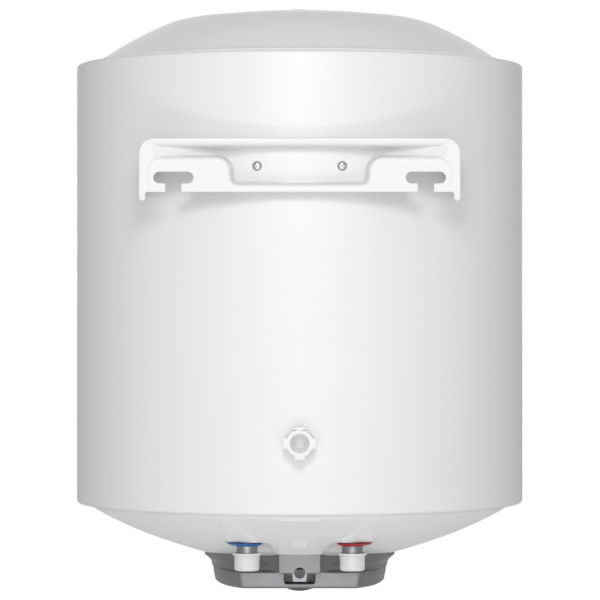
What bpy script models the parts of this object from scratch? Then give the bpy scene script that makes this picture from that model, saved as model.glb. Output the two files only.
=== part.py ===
"""A round wall-hung electric water heater of about 50 litres, as separate pieces.

Units are metres. +Z is up and +Y points at the wall, whose face is the plane y = 0.
The origin is on the wall face, in the middle of the hanging bracket's lower strip.
"""
import math

import bmesh
import bpy
from mathutils import Vector

# Driving dimensions
JACKET_R = 0.220
AXIS_Y = -0.240
JACKET_TOP = 0.1289
JACKET_BOTTOM = -0.3022
JACKET_SHEET = 0.0008
JACKET_MOUTH_R = 0.2062
EDGE_R = 0.0035
GAP = 0.0003
COVER_WALL = 0.0022
COVER_SKIRT_R = 0.2045
COVER_SKIRT = 0.008
STEPS = 40
INNER_STEPS = 20

# Dished covers: (radius, height over the jacket's edge) and (radius, depth under it)
TOP_DISH = [
    (0.2045, -0.0010), (0.180, 0.0152), (0.155, 0.0293), (0.130, 0.0406), (0.105, 0.0459),
    (0.0, 0.0526),
]
BOTTOM_DISH = [
    (0.0, 0.0605), (0.060, 0.0555), (0.100, 0.0465), (0.150, 0.0299),
    (0.180, 0.0170), (0.2045, 0.0038),
]
PLUG_R = 0.0095
PLUG_EDGE_R = 0.0080
PLUG_TOP = 0.0561
SERVICE_HOLE_R = 0.062

# Tank
TANK_R = 0.190
TANK_WALL = 0.002
TANK_SEAM_TOP = 0.0875
TANK_SEAM_BOTTOM = -0.2675
HEAD_DEPTH = 0.050
FLANGE_HOLE_R = 0.0455
HEAD_STEPS = 6
STRAP_HALF = 0.058
STRAP_HALF_H = 0.011
STRAP_T = 0.0015

# Water connections
PORT_X = 0.050
PORT_Y = -0.105
PORT_TOP = -0.2975
PORT_END = -0.3581
PORT_SHOULDER = -0.3435
PORT_NECK_R = 0.00985
PORT_THREAD_R = 0.01045
PORT_BORE_R = 0.0075
SEAT_Z = -0.3331
SEAT_R = 0.0195
RING_R = 0.01725
RING_T = 0.0032
CAP_TOP = -0.3425
CAP_BOTTOM = -0.3600
CAP_R = 0.0119
CAP_LIP_R = 0.0140
CAP_BORE_R = 0.0108
CAP_LIP_T = 0.0019
CAP_FLOOR = 0.0014
CAP_CORNER = 0.0020
DIP_TUBE_TOP = 0.105
DIP_TUBE_END = -0.325
DIFFUSER_R = 0.0125
DIFFUSER_TOP = -0.262

# Hanging bracket, heights from the origin
BRACKET_HALF = 0.14765
BRACKET_TOP = 0.0460
BRACKET_FOOT = -0.0035
BRACKET_LEG = -0.0115
BRACKET_T = 0.002
CORNER_R = 0.0142
LEG_W = 0.006
CHANNEL_TOP = 0.0386
PAD_TOP = 0.0278
RECESS_FLOOR = 0.0036
RECESS_HALF = 0.0627
RECESS_R = 0.2223
CHANNEL_END = 0.137
SLOT_X = 0.11595
SLOT_HALF = 0.0182
SLOT_R = 0.0053
SLOT_Z = 0.00985
NECK_HALF = 0.00725
SCREW_X = 0.0392
SCREW_Z = 0.0213
BOSS_R = 0.007
SCREW_HEAD_R = 0.0045
SCREW_HEAD_H = 0.0026
SCREW_SHANK_R = 0.0020
SCREW_LENGTH = 0.022
SCREW_HOLE_R = 0.0024

# Wall spacer
SPACER_Z = -0.2342
SPACER_R = 0.0125
SPACER_LUG = 0.0150
SPACER_LUG_W = 0.0096
SPACER_BORE_R = 0.0090
SPACER_BORE_END_R = 0.0052
SPACER_LUG_DEPTH = 0.0165
SPIGOT_R = 0.0062
SPIGOT_LENGTH = 0.0040

# Heating flange
COLLAR_TOP = -0.3135
COLLAR_RING = -0.3225
GASKET_TOP = -0.3268
PLATE_TOP = -0.3296
PLATE_BOTTOM = -0.3326
FLANGE_R = 0.056
FLANGE_BORE_R = 0.040
BOLT_CIRCLE_R = 0.050
BOLT_COUNT = 6
BOLT_R = 0.003
BOLT_HEAD_R = 0.0058
BOLT_HEAD_H = 0.004
COLLAR_R = 0.0450
ELEMENT_R = 0.004
ELEMENT_X = 0.018
ELEMENT_Y = AXIS_Y - 0.016
ELEMENT_TOP = -0.150
ANODE_Y = AXIS_Y + 0.026
ANODE_R = 0.0100
ANODE_STUD_R = 0.0030
ANODE_TOP = -0.130
ANODE_END = -0.3200
ANODE_STUD_END = -0.3378
NUT_R = 0.0055
WELL_TOP = -0.160
PROBE_R = 0.0040
WELL_R = 0.006
THERMOSTAT_HALF = 0.023
THERMOSTAT_TOP = -0.3386
THERMOSTAT_BOTTOM = -0.3645
RESET_X = 0.013
RESET_R = 0.0025
SPINDLE_R = 0.0030
TERMINAL_NEAR = AXIS_Y + 0.060
TERMINAL_FAR = AXIS_Y + 0.074
TERMINAL_HALF = 0.015
TERMINAL_TOP = -0.3635
TERMINAL_BOTTOM = -0.3755
EARTH_X = -0.033
EARTH_Y = AXIS_Y + 0.012
EARTH_R = 0.0020
EARTH_LENGTH = 0.012
WIRE_R = 0.0012
WIRE_LOW = -0.3690
WIRE_HIGH = -0.3520

# Control cover
FLOOR_Z = -0.3788
FLOOR_WALL = 0.0025
LEDGE_Z = -0.3633
BLOCK_HALF = 0.0205
BLOCK_Y = AXIS_Y + 0.122
FRONT_DEPTH = 0.092
CABLE_Z = -0.3628
CABLE_R = 0.00525
POCKET_HALF = 0.0155
POCKET_BOTTOM = -0.3752
POST_X = 0.068
LAMP_Y = AXIS_Y - 0.060
KNOB_R = 0.021
KNOB_TOP = -0.3794
KNOB_BOTTOM = -0.3905
KNOB_CROWN_R = 0.034
KNOB_BORE_R = 0.0033
KNOB_BORE_DEPTH = 0.0042
POINTER_HALF = 0.0008
COVER_CORNER = 0.006
COVER_RIM_TOP = -0.3300
COVER_RIM = -0.3475
COVER_WAIST = -0.3560
COVER_SCREW_R = 0.0016
COVER_SCREW_HEAD_R = 0.0040
COVER_SCREW_TOP = -0.3580
CUT_TOP = -0.360
CUT_BOTTOM = -0.390
CLAMP_TOP_HALF = 0.0072
CLAMP_TIP_HALF = 0.0062
CLAMP_TIP = -0.3711
CLAMP_BAR_HALF = 0.0050
LENS_R = 0.0040
LENS_RIM_R = 0.0055
LENS_TOP = -0.3742
LENS_RIM = -0.3758
LENS_BOTTOM = -0.3813
LAMP_R = 0.0036
LAMP_TOP = -0.3640
LAMP_BOTTOM = -0.3739


def clear_scene():
    for old in list(bpy.data.objects):
        bpy.data.objects.remove(old, do_unlink=True)


def new_collection(name):
    made = bpy.data.collections.new(name)
    bpy.context.scene.collection.children.link(made)
    return made


clear_scene()
PARTS = new_collection("water_heater")
CUTTERS = new_collection("cutters")


def finish_material(name, colour, roughness, metallic=0.0):
    made = bpy.data.materials.new(name)
    made.use_nodes = True
    shader = made.node_tree.nodes["Principled BSDF"]
    shader.inputs["Base Color"].default_value = (*colour, 1.0)
    shader.inputs["Roughness"].default_value = roughness
    shader.inputs["Metallic"].default_value = metallic
    return made


WHITE_ENAMEL = finish_material("white_enamel", (0.90, 0.90, 0.90), 0.35)
WHITE_PLASTIC = finish_material("white_plastic", (0.80, 0.80, 0.80), 0.40)
CAP_PLASTIC = finish_material("cap_plastic", (0.88, 0.88, 0.88), 0.45)
GREY_PLASTIC = finish_material("grey_plastic", (0.26, 0.27, 0.28), 0.45)
PALE_PLASTIC = finish_material("pale_plastic", (0.55, 0.56, 0.58), 0.45)
DARK_PLASTIC = finish_material("dark_plastic", (0.06, 0.06, 0.065), 0.50)
BLACK_PLASTIC = finish_material("black_plastic", (0.02, 0.02, 0.02), 0.50)
BLUE_PLASTIC = finish_material("blue_plastic", (0.03, 0.14, 0.42), 0.45)
RED_PLASTIC = finish_material("red_plastic", (0.46, 0.03, 0.04), 0.45)
ZINC_STEEL = finish_material("zinc_steel", (0.55, 0.55, 0.56), 0.30, 1.0)
TANK_ENAMEL = finish_material("tank_enamel", (0.05, 0.08, 0.16), 0.30)
FOAM = finish_material("foam", (0.85, 0.74, 0.45), 0.90)
COPPER = finish_material("copper", (0.72, 0.40, 0.26), 0.35, 1.0)
MAGNESIUM = finish_material("magnesium", (0.60, 0.60, 0.58), 0.60, 1.0)
RUBBER = finish_material("rubber", (0.02, 0.02, 0.02), 0.80)
LENS_RED = finish_material("lens_red", (0.60, 0.03, 0.02), 0.20)
WIRE_BROWN = finish_material("wire_brown", (0.20, 0.08, 0.03), 0.50)
WIRE_BLUE = finish_material("wire_blue", (0.03, 0.12, 0.45), 0.50)
WIRE_EARTH = finish_material("wire_earth", (0.25, 0.45, 0.05), 0.50)


# Helpers

def place(name, mesh, material, location=(0.0, 0.0, 0.0), rotation=(0.0, 0.0, 0.0), helper=False):
    made = bpy.data.objects.new(name, mesh)
    (CUTTERS if helper else PARTS).objects.link(made)
    made.location = location
    made.rotation_euler = rotation
    if material:
        mesh.materials.append(material)
    if helper:
        made.hide_render = True
        made.display_type = "WIRE"
    return made


def turned(name, profile, material, x=0.0, y=AXIS_Y, steps=STEPS, closed=True,
           rotation=(0.0, 0.0, 0.0), z=0.0, helper=False):
    """A profile of (radius, height), down its outer side first, turned about a vertical axis."""
    mesh = bpy.data.meshes.new(name)
    corners = [(radius, 0.0, height) for radius, height in profile]
    edges = [(i, i + 1) for i in range(len(corners) - 1)]
    if closed and (profile[0][0] > 0 or profile[-1][0] > 0):
        edges.append((len(corners) - 1, 0))
    mesh.from_pydata(corners, edges, [])
    made = place(name, mesh, material, (x, y, z), rotation, helper)
    screw = made.modifiers.new("turn", "SCREW")
    screw.steps = steps
    screw.render_steps = steps
    screw.use_merge_vertices = True
    screw.merge_threshold = 0.00001
    screw.use_smooth_shade = True
    return made


def drum(name, radius, top, bottom, material=None, x=0.0, y=AXIS_Y, steps=16, helper=False,
         rotation=(0.0, 0.0, 0.0), z=0.0):
    """A plain solid cylinder between two heights."""
    profile = [(0.0, top), (radius, top), (radius, bottom), (0.0, bottom)]
    return turned(name, profile, material, x, y, steps, False, rotation, z, helper)


def tube(name, outer, inner, top, bottom, material, x=0.0, y=AXIS_Y, steps=STEPS):
    profile = [(outer, top), (outer, bottom), (inner, bottom), (inner, top)]
    return turned(name, profile, material, x, y, steps)


def box(name, low, high, material=None, helper=False):
    mesh = bpy.data.meshes.new(name)
    shape = bmesh.new()
    bmesh.ops.create_cube(shape, size=1.0)
    centre = (Vector(low) + Vector(high)) / 2
    size = Vector(high) - Vector(low)
    bmesh.ops.scale(shape, vec=size, verts=shape.verts)
    shape.to_mesh(mesh)
    shape.free()
    return place(name, mesh, material, centre, helper=helper)


def bevelled(made, width, segments=2):
    bevel = made.modifiers.new("bevel", "BEVEL")
    bevel.width = width
    bevel.segments = segments
    return made


def thicken(made, wall):
    """Wall thickness, added on the inner side of an open surface."""
    shell = made.modifiers.new("wall", "SOLIDIFY")
    shell.thickness = wall
    shell.offset = -1.0
    shell.use_even_offset = True
    return made


def boolean(made, other, operation="DIFFERENCE", solver="EXACT"):
    cut = made.modifiers.new(f"{operation.lower()}_{other.name}", "BOOLEAN")
    cut.operation = operation
    cut.solver = solver
    cut.object = other
    return made


def loft(name, rings, material=None, helper=False):
    """A closed body through unlike sections, each a ring of the same number of points, top first."""
    mesh = bpy.data.meshes.new(name)
    shape = bmesh.new()
    rows = [[shape.verts.new(point) for point in ring] for ring in rings]
    count = len(rows[0])
    for upper, lower in zip(rows, rows[1:]):
        for i in range(count):
            j = (i + 1) % count
            shape.faces.new((upper[i], lower[i], lower[j], upper[j]))
    shape.faces.new(rows[0])
    shape.faces.new(rows[-1][::-1])
    bmesh.ops.recalc_face_normals(shape, faces=shape.faces)
    shape.to_mesh(mesh)
    shape.free()
    return place(name, mesh, material, helper=helper)


def prism(name, outline, near, far, material=None, helper=False):
    """An outline of (x, z) points drawn out along Y from near to far."""
    rings = [[(x, y, z) for x, z in outline] for y in (near, far)]
    return loft(name, rings, material, helper)


def rod(name, points, radius, material, resolution=2):
    """A round bar or wire along points."""
    curve = bpy.data.curves.new(name, "CURVE")
    curve.dimensions = "3D"
    curve.bevel_depth = radius
    curve.bevel_resolution = resolution
    curve.use_fill_caps = True
    spline = curve.splines.new("POLY")
    spline.points.add(len(points) - 1)
    for target, point in zip(spline.points, points):
        target.co = (*point, 1.0)
    curve.materials.append(material)
    made = bpy.data.objects.new(name, curve)
    PARTS.objects.link(made)
    return made


def smooth_line(points, per_span):
    """A Catmull-Rom line through points of any dimension."""
    whole = [Vector(p).to_tuple() for p in points]
    ends = [tuple(2 * a - b for a, b in zip(whole[0], whole[1]))]
    tail = [tuple(2 * a - b for a, b in zip(whole[-1], whole[-2]))]
    padded = ends + whole + tail
    line = []
    for a, b, c, d in zip(padded, padded[1:], padded[2:], padded[3:]):
        for step in range(per_span):
            t = step / per_span
            line.append(tuple(
                0.5 * (2 * q + (r - p) * t + (2 * p - 5 * q + 4 * r - s) * t * t
                       + (3 * q - p - 3 * r + s) * t ** 3)
                for p, q, r, s in zip(a, b, c, d)))
    line.append(whole[-1])
    return line


def arc(cx, cz, radius, start, end, count):
    """Points (x, z) on an arc, angles in degrees."""
    steps = [math.radians(start + (end - start) * i / count) for i in range(count + 1)]
    return [(cx + radius * math.cos(a), cz + radius * math.sin(a)) for a in steps]


def dish_depth(radius):
    """Height of the bottom cover's outer face at a radius from the heater's axis."""
    for (r0, d0), (r1, d1) in zip(BOTTOM_DISH, BOTTOM_DISH[1:]):
        if radius <= r1:
            return JACKET_BOTTOM - (d0 + (d1 - d0) * (radius - r0) / (r1 - r0))
    return JACKET_BOTTOM


# Outer casing

def make_jacket():
    top, bottom, corner = JACKET_TOP, JACKET_BOTTOM, EDGE_R
    inner = JACKET_R - corner
    profile = [(JACKET_MOUTH_R, top)]
    profile += arc(inner, top - corner, corner, 90, 0, 2)
    profile += arc(inner, bottom + corner, corner, 0, -90, 2)
    profile += [(JACKET_MOUTH_R, bottom)]
    jacket = turned("jacket", profile, WHITE_ENAMEL, closed=False)
    thicken(jacket, JACKET_SHEET)
    for side in (-1, 1):
        hole = drum(f"cut_jacket_{side}", 0.0035, 0.012, -0.012, x=side * SCREW_X, steps=12,
                    y=-0.0225, z=SCREW_Z, rotation=(math.radians(90), 0, 0), helper=True)
        boolean(jacket, hole)
    spigot = drum("cut_jacket_spacer", 0.0065, 0.008, -0.008, y=AXIS_Y + JACKET_R, z=SPACER_Z,
                  rotation=(math.radians(90), 0, 0), helper=True)
    return boolean(jacket, spigot)


def make_top_cover():
    dish = [(r, JACKET_TOP + h) for r, h in TOP_DISH[:-1]]
    skirt = [(COVER_SKIRT_R, JACKET_TOP - COVER_SKIRT)]
    mouth = [(PLUG_R + GAP, JACKET_TOP + TOP_DISH[-1][1])]
    profile = mouth + dish[::-1] + skirt
    cover = turned("top_cover", profile, WHITE_PLASTIC, closed=False)
    return thicken(cover, COVER_WALL)


def make_foam_plug():
    top = JACKET_TOP + PLUG_TOP
    under = JACKET_TOP + TOP_DISH[-1][1] - COVER_WALL - 0.001
    profile = [
        (0.0, top), (PLUG_EDGE_R, top - 0.0002), (PLUG_R, top - 0.0012), (PLUG_R, under), (0.0, under),
    ]
    return turned("foam_plug", profile, WHITE_PLASTIC, steps=20)


def port_seat(word, x, outside):
    """An upturned cup whose floor is the level seat of one water connection."""
    rim = SEAT_R + COVER_WALL
    profile = [
        (0.0, SEAT_Z + COVER_WALL), (rim, SEAT_Z + COVER_WALL), (rim, SEAT_Z - 0.020),
        (SEAT_R, SEAT_Z - 0.020), (SEAT_R, SEAT_Z), (0.0, SEAT_Z),
    ]
    cup = turned(f"cup_{word}", profile, None, x, PORT_Y, 24, closed=False, helper=True)
    return boolean(cup, outside)


def make_bottom_cover():
    dish = [(r, JACKET_BOTTOM - d) for r, d in BOTTOM_DISH[:0:-1]]
    profile = [(COVER_SKIRT_R, JACKET_BOTTOM + COVER_SKIRT)] + dish
    profile[-1] = (SERVICE_HOLE_R, dish_depth(SERVICE_HOLE_R))
    cover = turned("bottom_cover", profile, WHITE_PLASTIC, closed=False)
    thicken(cover, COVER_WALL)
    under = [(r, z + 2 * GAP) for r, z in dish] + [(0.0, dish_depth(0.0) + 2 * GAP)]
    filled = turned("guide_dish", [(0.0, JACKET_BOTTOM), (0.190, JACKET_BOTTOM)] + under[1:], None,
                    closed=False, helper=True)
    outside = drum("guide_outside", 0.230, SEAT_Z - GAP, -0.400, steps=STEPS, helper=True)
    boolean(outside, filled)
    for side, word in ((1, "cold"), (-1, "hot")):
        x = side * PORT_X
        opening = drum(f"cut_seat_{word}", SEAT_R + COVER_WALL / 2, -0.300, -0.360, x=x, y=PORT_Y,
                       steps=24, helper=True)
        bore = drum(f"cut_port_{word}", PORT_NECK_R + 0.0005, SEAT_Z + 0.010, SEAT_Z - 0.010, x=x,
                    y=PORT_Y, steps=24, helper=True)
        boolean(cover, opening)
        boolean(cover, port_seat(word, x, outside), "UNION")
        boolean(cover, bore)
        post_top = dish_depth(POST_X) + 0.001
        post = drum(f"post_{word}", 0.0045, post_top, FLOOR_Z + FLOOR_WALL + 0.0005,
                    x=side * POST_X, steps=12, helper=True)
        pilot = drum(f"cut_post_{word}", 0.0019, post_top - 0.002, FLOOR_Z, x=side * POST_X,
                     steps=8, helper=True)
        boolean(cover, post, "UNION")
        boolean(cover, pilot)
    return cover


# Tank and insulation

def head_line(radius, drop, sign, seam, start, count):
    """Half-ellipse of a tank head from a start radius out to its rim."""
    first = math.asin(start / radius)
    angles = [first + (math.pi / 2 - first) * i / count for i in range(count + 1)]
    return [(radius * math.sin(a), seam + sign * drop * math.cos(a)) for a in angles]


def make_tank():
    tube("tank_shell", TANK_R, TANK_R - TANK_WALL, TANK_SEAM_TOP, TANK_SEAM_BOTTOM, TANK_ENAMEL,
         steps=INNER_STEPS)
    top_seam = TANK_SEAM_TOP + GAP
    outer = head_line(TANK_R, HEAD_DEPTH, 1, top_seam, 0.0, HEAD_STEPS)
    inner = head_line(TANK_R - TANK_WALL, HEAD_DEPTH - TANK_WALL, 1, top_seam, 0.0,
                      HEAD_STEPS)
    turned("tank_top_head", outer + inner[::-1], TANK_ENAMEL, closed=False, steps=INNER_STEPS)
    low_seam = TANK_SEAM_BOTTOM - GAP
    outer = head_line(TANK_R, HEAD_DEPTH, -1, low_seam, FLANGE_HOLE_R, HEAD_STEPS)
    inner = head_line(TANK_R - TANK_WALL, HEAD_DEPTH - TANK_WALL, -1, low_seam, FLANGE_HOLE_R,
                      HEAD_STEPS)
    head = turned("tank_bottom_head", outer[::-1] + inner, TANK_ENAMEL, steps=INNER_STEPS)
    for side, word in ((1, "cold"), (-1, "hot")):
        hole = drum(f"cut_head_{word}", PORT_NECK_R + GAP, -0.280, -0.320, x=side * PORT_X,
                    y=PORT_Y, helper=True)
        boolean(head, hole)


def make_foam():
    outer_r = JACKET_R - 0.0018
    inner_r = TANK_R + GAP
    body = tube("foam_body", outer_r, inner_r + 0.0022, TANK_SEAM_TOP - GAP,
                TANK_SEAM_BOTTOM + GAP, FOAM, steps=INNER_STEPS)
    for side in (-1, 1):
        hole = drum(f"cut_foam_{side}", BOSS_R + 0.0008, 0.036, -0.036, x=side * SCREW_X,
                    y=-0.040, z=SCREW_Z, rotation=(math.radians(90), 0, 0), helper=True)
        boolean(body, hole)
    strap = box("cut_foam_strap", (-0.062, -0.08, SCREW_Z - 0.0125),
                (0.062, AXIS_Y + TANK_R + 0.0075, SCREW_Z + 0.0125), helper=True)
    boolean(body, strap)
    spigot = drum("cut_foam_spacer", 0.0070, 0.014, -0.006, y=AXIS_Y + JACKET_R, z=SPACER_Z,
                  rotation=(math.radians(90), 0, 0), helper=True)
    boolean(body, spigot)

    under_lid = [
        (r, JACKET_TOP + h - COVER_WALL - 0.0012) for r, h in TOP_DISH[::-1] if 0.19 > r > 0
    ]
    lid_floor = JACKET_TOP + TOP_DISH[-1][1] - COVER_WALL - 0.0025
    low_rim = JACKET_TOP - COVER_SKIRT - 0.0008
    crown = head_line(TANK_R + GAP, HEAD_DEPTH + GAP, 1, TANK_SEAM_TOP + GAP, 0.0, HEAD_STEPS)
    profile = [(0.0, lid_floor)] + under_lid + [
        (0.198, JACKET_TOP - 0.002), (0.198, low_rim), (outer_r, low_rim),
        (outer_r, TANK_SEAM_TOP + GAP),
    ]
    turned("foam_top", profile + crown[::-1], FOAM, closed=False, steps=INNER_STEPS)

    base = head_line(TANK_R + GAP, HEAD_DEPTH + 2 * GAP, -1, TANK_SEAM_BOTTOM - GAP,
                     FLANGE_HOLE_R, HEAD_STEPS)[1:]
    over_dish = [(0.192, -0.3035), (0.180, -0.3125), (0.150, -0.3265), (base[0][0], -0.3420)]
    low_rim = JACKET_BOTTOM + COVER_SKIRT + 0.0008
    profile = [
        (outer_r, TANK_SEAM_BOTTOM - GAP), (outer_r, low_rim), (0.198, low_rim),
        (0.198, JACKET_BOTTOM + 0.001),
    ] + over_dish + base
    lower = turned("foam_bottom", profile, FOAM, steps=INNER_STEPS)
    for side, word in ((1, "cold"), (-1, "hot")):
        hole = drum(f"cut_foam_{word}", SEAT_R + COVER_WALL + 0.001, -0.290, -0.360,
                    x=side * PORT_X, y=PORT_Y, steps=24, helper=True)
        boolean(lower, hole)


# Hanging bracket and spacer

def bracket_depth(x):
    """How far the pressed channel lies behind the wall face at a distance from the middle."""
    middle = -AXIS_Y - math.sqrt(RECESS_R ** 2 - min(abs(x), RECESS_HALF) ** 2)
    if abs(x) <= RECESS_HALF:
        return middle
    share = (CHANNEL_END - abs(x)) / (CHANNEL_END - RECESS_HALF)
    return middle * max(0.0, share)


def pad_edge(x):
    """Height of the S-shaped edge between the pads and the pressed channel."""
    outer, inner = 0.0714, 0.0539
    t = min(1.0, max(0.0, (abs(x) - inner) / (outer - inner)))
    return RECESS_FLOOR + (PAD_TOP - RECESS_FLOOR) * (3 * t * t - 2 * t ** 3)


def bracket_section(x):
    """Points (y, z) down the bracket's face at a station."""
    deep = bracket_depth(x)
    edge = pad_edge(x)
    draft = 0.0015
    return [
        (0.0, BRACKET_TOP + 0.003), (0.0, CHANNEL_TOP + 0.0005), (-deep, CHANNEL_TOP - draft),
        (-deep, edge + draft), (0.0, edge), (0.0, BRACKET_FOOT - 0.012),
    ]


def bracket_outline(inset, foot):
    """The arch of the bracket's flange: up one end, over the rounded top and down the other."""
    half = BRACKET_HALF - inset
    radius = CORNER_R - inset
    top = BRACKET_TOP - inset
    right = [(half, foot)] + arc(half - radius, top - radius, radius, 0, 90, 5)
    return right + [(-x, z) for x, z in right[::-1]]


def make_bracket():
    stations = [0.0, 0.013, 0.026, 0.0392, 0.050, 0.0539, 0.057, 0.060, 0.0627, 0.0655, 0.0685,
                0.0714, 0.085, 0.100, 0.118, 0.137, 0.152]
    stations = [-x for x in stations[:0:-1]] + stations
    mesh = bpy.data.meshes.new("wall_bracket")
    shape = bmesh.new()
    rows = [[shape.verts.new((x, y, z)) for y, z in bracket_section(x)] for x in stations]
    for left, right in zip(rows, rows[1:]):
        for i in range(len(left) - 1):
            shape.faces.new((left[i], right[i], right[i + 1], left[i + 1]))
    bmesh.ops.recalc_face_normals(shape, faces=shape.faces)
    if sum(face.normal.y for face in shape.faces) < 0:
        bmesh.ops.reverse_faces(shape, faces=shape.faces)
    shape.to_mesh(mesh)
    shape.free()
    bracket = place("wall_bracket", mesh, WHITE_ENAMEL)
    thicken(bracket, BRACKET_T)

    half, foot = BRACKET_HALF, BRACKET_FOOT
    outline = bracket_outline(GAP, foot)
    blank = prism("guide_blank", outline, 0.010, -0.080, helper=True)
    boolean(bracket, blank, "INTERSECT")
    arch = bracket_outline(0.0, foot) + bracket_outline(BRACKET_T, foot)[::-1]
    flange = prism("flange_arch", arch, -0.0008, -0.090, helper=True)
    rear = drum("cut_flange_rear", JACKET_R + 0.0012, 0.200, -0.200, steps=96, helper=True)
    boolean(flange, rear)
    boolean(bracket, flange, "UNION")
    radius = LEG_W / 2
    for side in (-1, 1):
        middle = side * (half - radius - GAP / 2)
        tongue = [(middle + radius, foot + 0.004)]
        tongue += [(middle - radius, foot + 0.004)]
        tongue += arc(middle, BRACKET_LEG + radius, radius, 180, 360, 6)
        leg = prism(f"leg_{side}", tongue, -GAP / 2, -BRACKET_T - GAP / 2, helper=True)
        boolean(bracket, leg, "UNION")
        reach = SLOT_HALF - SLOT_R
        centre = side * SLOT_X
        slot = arc(centre + reach, SLOT_Z, SLOT_R, -90, 90, 6)
        slot += arc(centre - reach, SLOT_Z, SLOT_R, 90, 270, 6)
        boolean(bracket, prism(f"cut_slot_{side}", slot, 0.010, -0.010, helper=True))
        neck = box(f"cut_neck_{side}", (centre - NECK_HALF, -0.010, foot - 0.010),
                   (centre + NECK_HALF, 0.010, SLOT_Z), helper=True)
        boolean(bracket, neck)
        hole = drum(f"cut_screw_{side}", SCREW_HOLE_R, 0.020, -0.020, x=side * SCREW_X, y=-0.022,
                    z=SCREW_Z, steps=12, rotation=(math.radians(90), 0, 0), helper=True)
        boolean(bracket, hole)


def make_bracket_screws():
    """Pan heads on the recess, shanks into the tank's bosses."""
    seat = AXIS_Y + math.sqrt(RECESS_R ** 2 - SCREW_X ** 2)
    for side, word in ((1, "left"), (-1, "right")):
        head = seat + 0.0012
        profile = [
            (0.0, SCREW_HEAD_H), (0.0025, 0.0023), (0.0042, 0.0010), (SCREW_HEAD_R, 0.0),
            (SCREW_SHANK_R, 0.0), (SCREW_SHANK_R, -SCREW_LENGTH), (0.0, -SCREW_LENGTH),
        ]
        turned(f"bracket_screw_{word}", profile, ZINC_STEEL, x=side * SCREW_X, y=head, z=SCREW_Z,
               steps=16, rotation=(math.radians(-90), 0, 0))
        boss_far = AXIS_Y + JACKET_R - 0.0078
        length = boss_far - (AXIS_Y + TANK_R + 0.0035)
        tip = [(BOSS_R, 0.0), (BOSS_R, -length), (0.0023, -length), (0.0023, 0.0)]
        turned(f"hanger_boss_{word}", tip, ZINC_STEEL, x=side * SCREW_X, y=boss_far, z=SCREW_Z,
               steps=16, rotation=(math.radians(-90), 0, 0))


def make_hanger_plate():
    """A strap rolled round the tank's back, under the two bosses."""
    half_angle = math.asin(STRAP_HALF / TANK_R)
    inner = TANK_R + 0.0008
    outer = inner + STRAP_T
    steps = [half_angle * (i / 5 - 1) for i in range(11)]

    def bow(radius, turn):
        return [(radius * math.sin(a), AXIS_Y + radius * math.cos(a)) for a in turn]

    ring = bow(outer, steps) + bow(inner, steps[::-1])
    rings = [[(x, y, SCREW_Z + z) for x, y in ring] for z in (STRAP_HALF_H, -STRAP_HALF_H)]
    strap = loft("hanger_plate", rings, ZINC_STEEL)
    for side in (-1, 1):
        room = drum(f"cut_strap_{side}", BOSS_R + GAP, 0.010, -0.010, x=side * SCREW_X,
                    y=AXIS_Y + TANK_R, z=SCREW_Z, rotation=(math.radians(90), 0, 0), helper=True)
        boolean(strap, room)


def make_spacer():
    """The tubular stand-off with four lugs on its wall end; its spigot enters the jacket."""
    base = AXIS_Y + JACKET_R + 0.0004
    profile = [
        (SPACER_R, 0.0), (SPACER_R + 0.0008, base), (SPIGOT_R, base),
        (SPIGOT_R, base - SPIGOT_LENGTH),
        (SPACER_BORE_END_R, base - SPIGOT_LENGTH), (SPACER_BORE_R, 0.0),
    ]
    spacer = turned("wall_spacer", profile, WHITE_PLASTIC, y=0.0, z=SPACER_Z, steps=24,
                    rotation=(math.radians(-90), 0, 0))
    for side in range(4):
        turn = math.radians(90 * side)
        low, high = SPACER_R - 0.002, SPACER_LUG
        half = SPACER_LUG_W / 2
        outline = [(low, -half), (high, -half), (high, half), (low, half)]
        spun = [
            (x * math.cos(turn) - z * math.sin(turn), x * math.sin(turn) + z * math.cos(turn))
            for x, z in outline
        ]
        shifted = [(x, z + SPACER_Z) for x, z in spun]
        boolean(spacer, prism(f"lug_{side}", shifted, 0.0, -SPACER_LUG_DEPTH, helper=True), "UNION")


# Water connections

def make_ports():
    for side, word, colour in ((1, "cold", BLUE_PLASTIC), (-1, "hot", RED_PLASTIC)):
        x = side * PORT_X
        profile = [
            (PORT_NECK_R, PORT_TOP), (PORT_NECK_R, PORT_SHOULDER),
            (PORT_THREAD_R, PORT_SHOULDER - 0.0008), (PORT_THREAD_R, PORT_END),
            (PORT_BORE_R, PORT_END), (PORT_BORE_R, PORT_TOP),
        ]
        turned(f"{word}_nipple", profile, ZINC_STEEL, x, PORT_Y, 24)
        tube(f"{word}_ring", RING_R, PORT_NECK_R + 0.0004, SEAT_Z - GAP, SEAT_Z - GAP - RING_T,
             colour, x, PORT_Y, 24)
        profile = [
            (CAP_LIP_R, CAP_TOP), (CAP_LIP_R, CAP_TOP - CAP_LIP_T),
            (CAP_R + 0.0002, CAP_TOP - CAP_LIP_T - 0.0002), (CAP_R, CAP_BOTTOM + CAP_CORNER),
            (CAP_R - CAP_CORNER, CAP_BOTTOM), (0.0, CAP_BOTTOM),
            (0.0, CAP_BOTTOM + CAP_FLOOR), (CAP_BORE_R, CAP_BOTTOM + CAP_FLOOR),
            (CAP_BORE_R, CAP_TOP),
        ]
        turned(f"{word}_cap", profile, CAP_PLASTIC, x, PORT_Y, 24)


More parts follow.
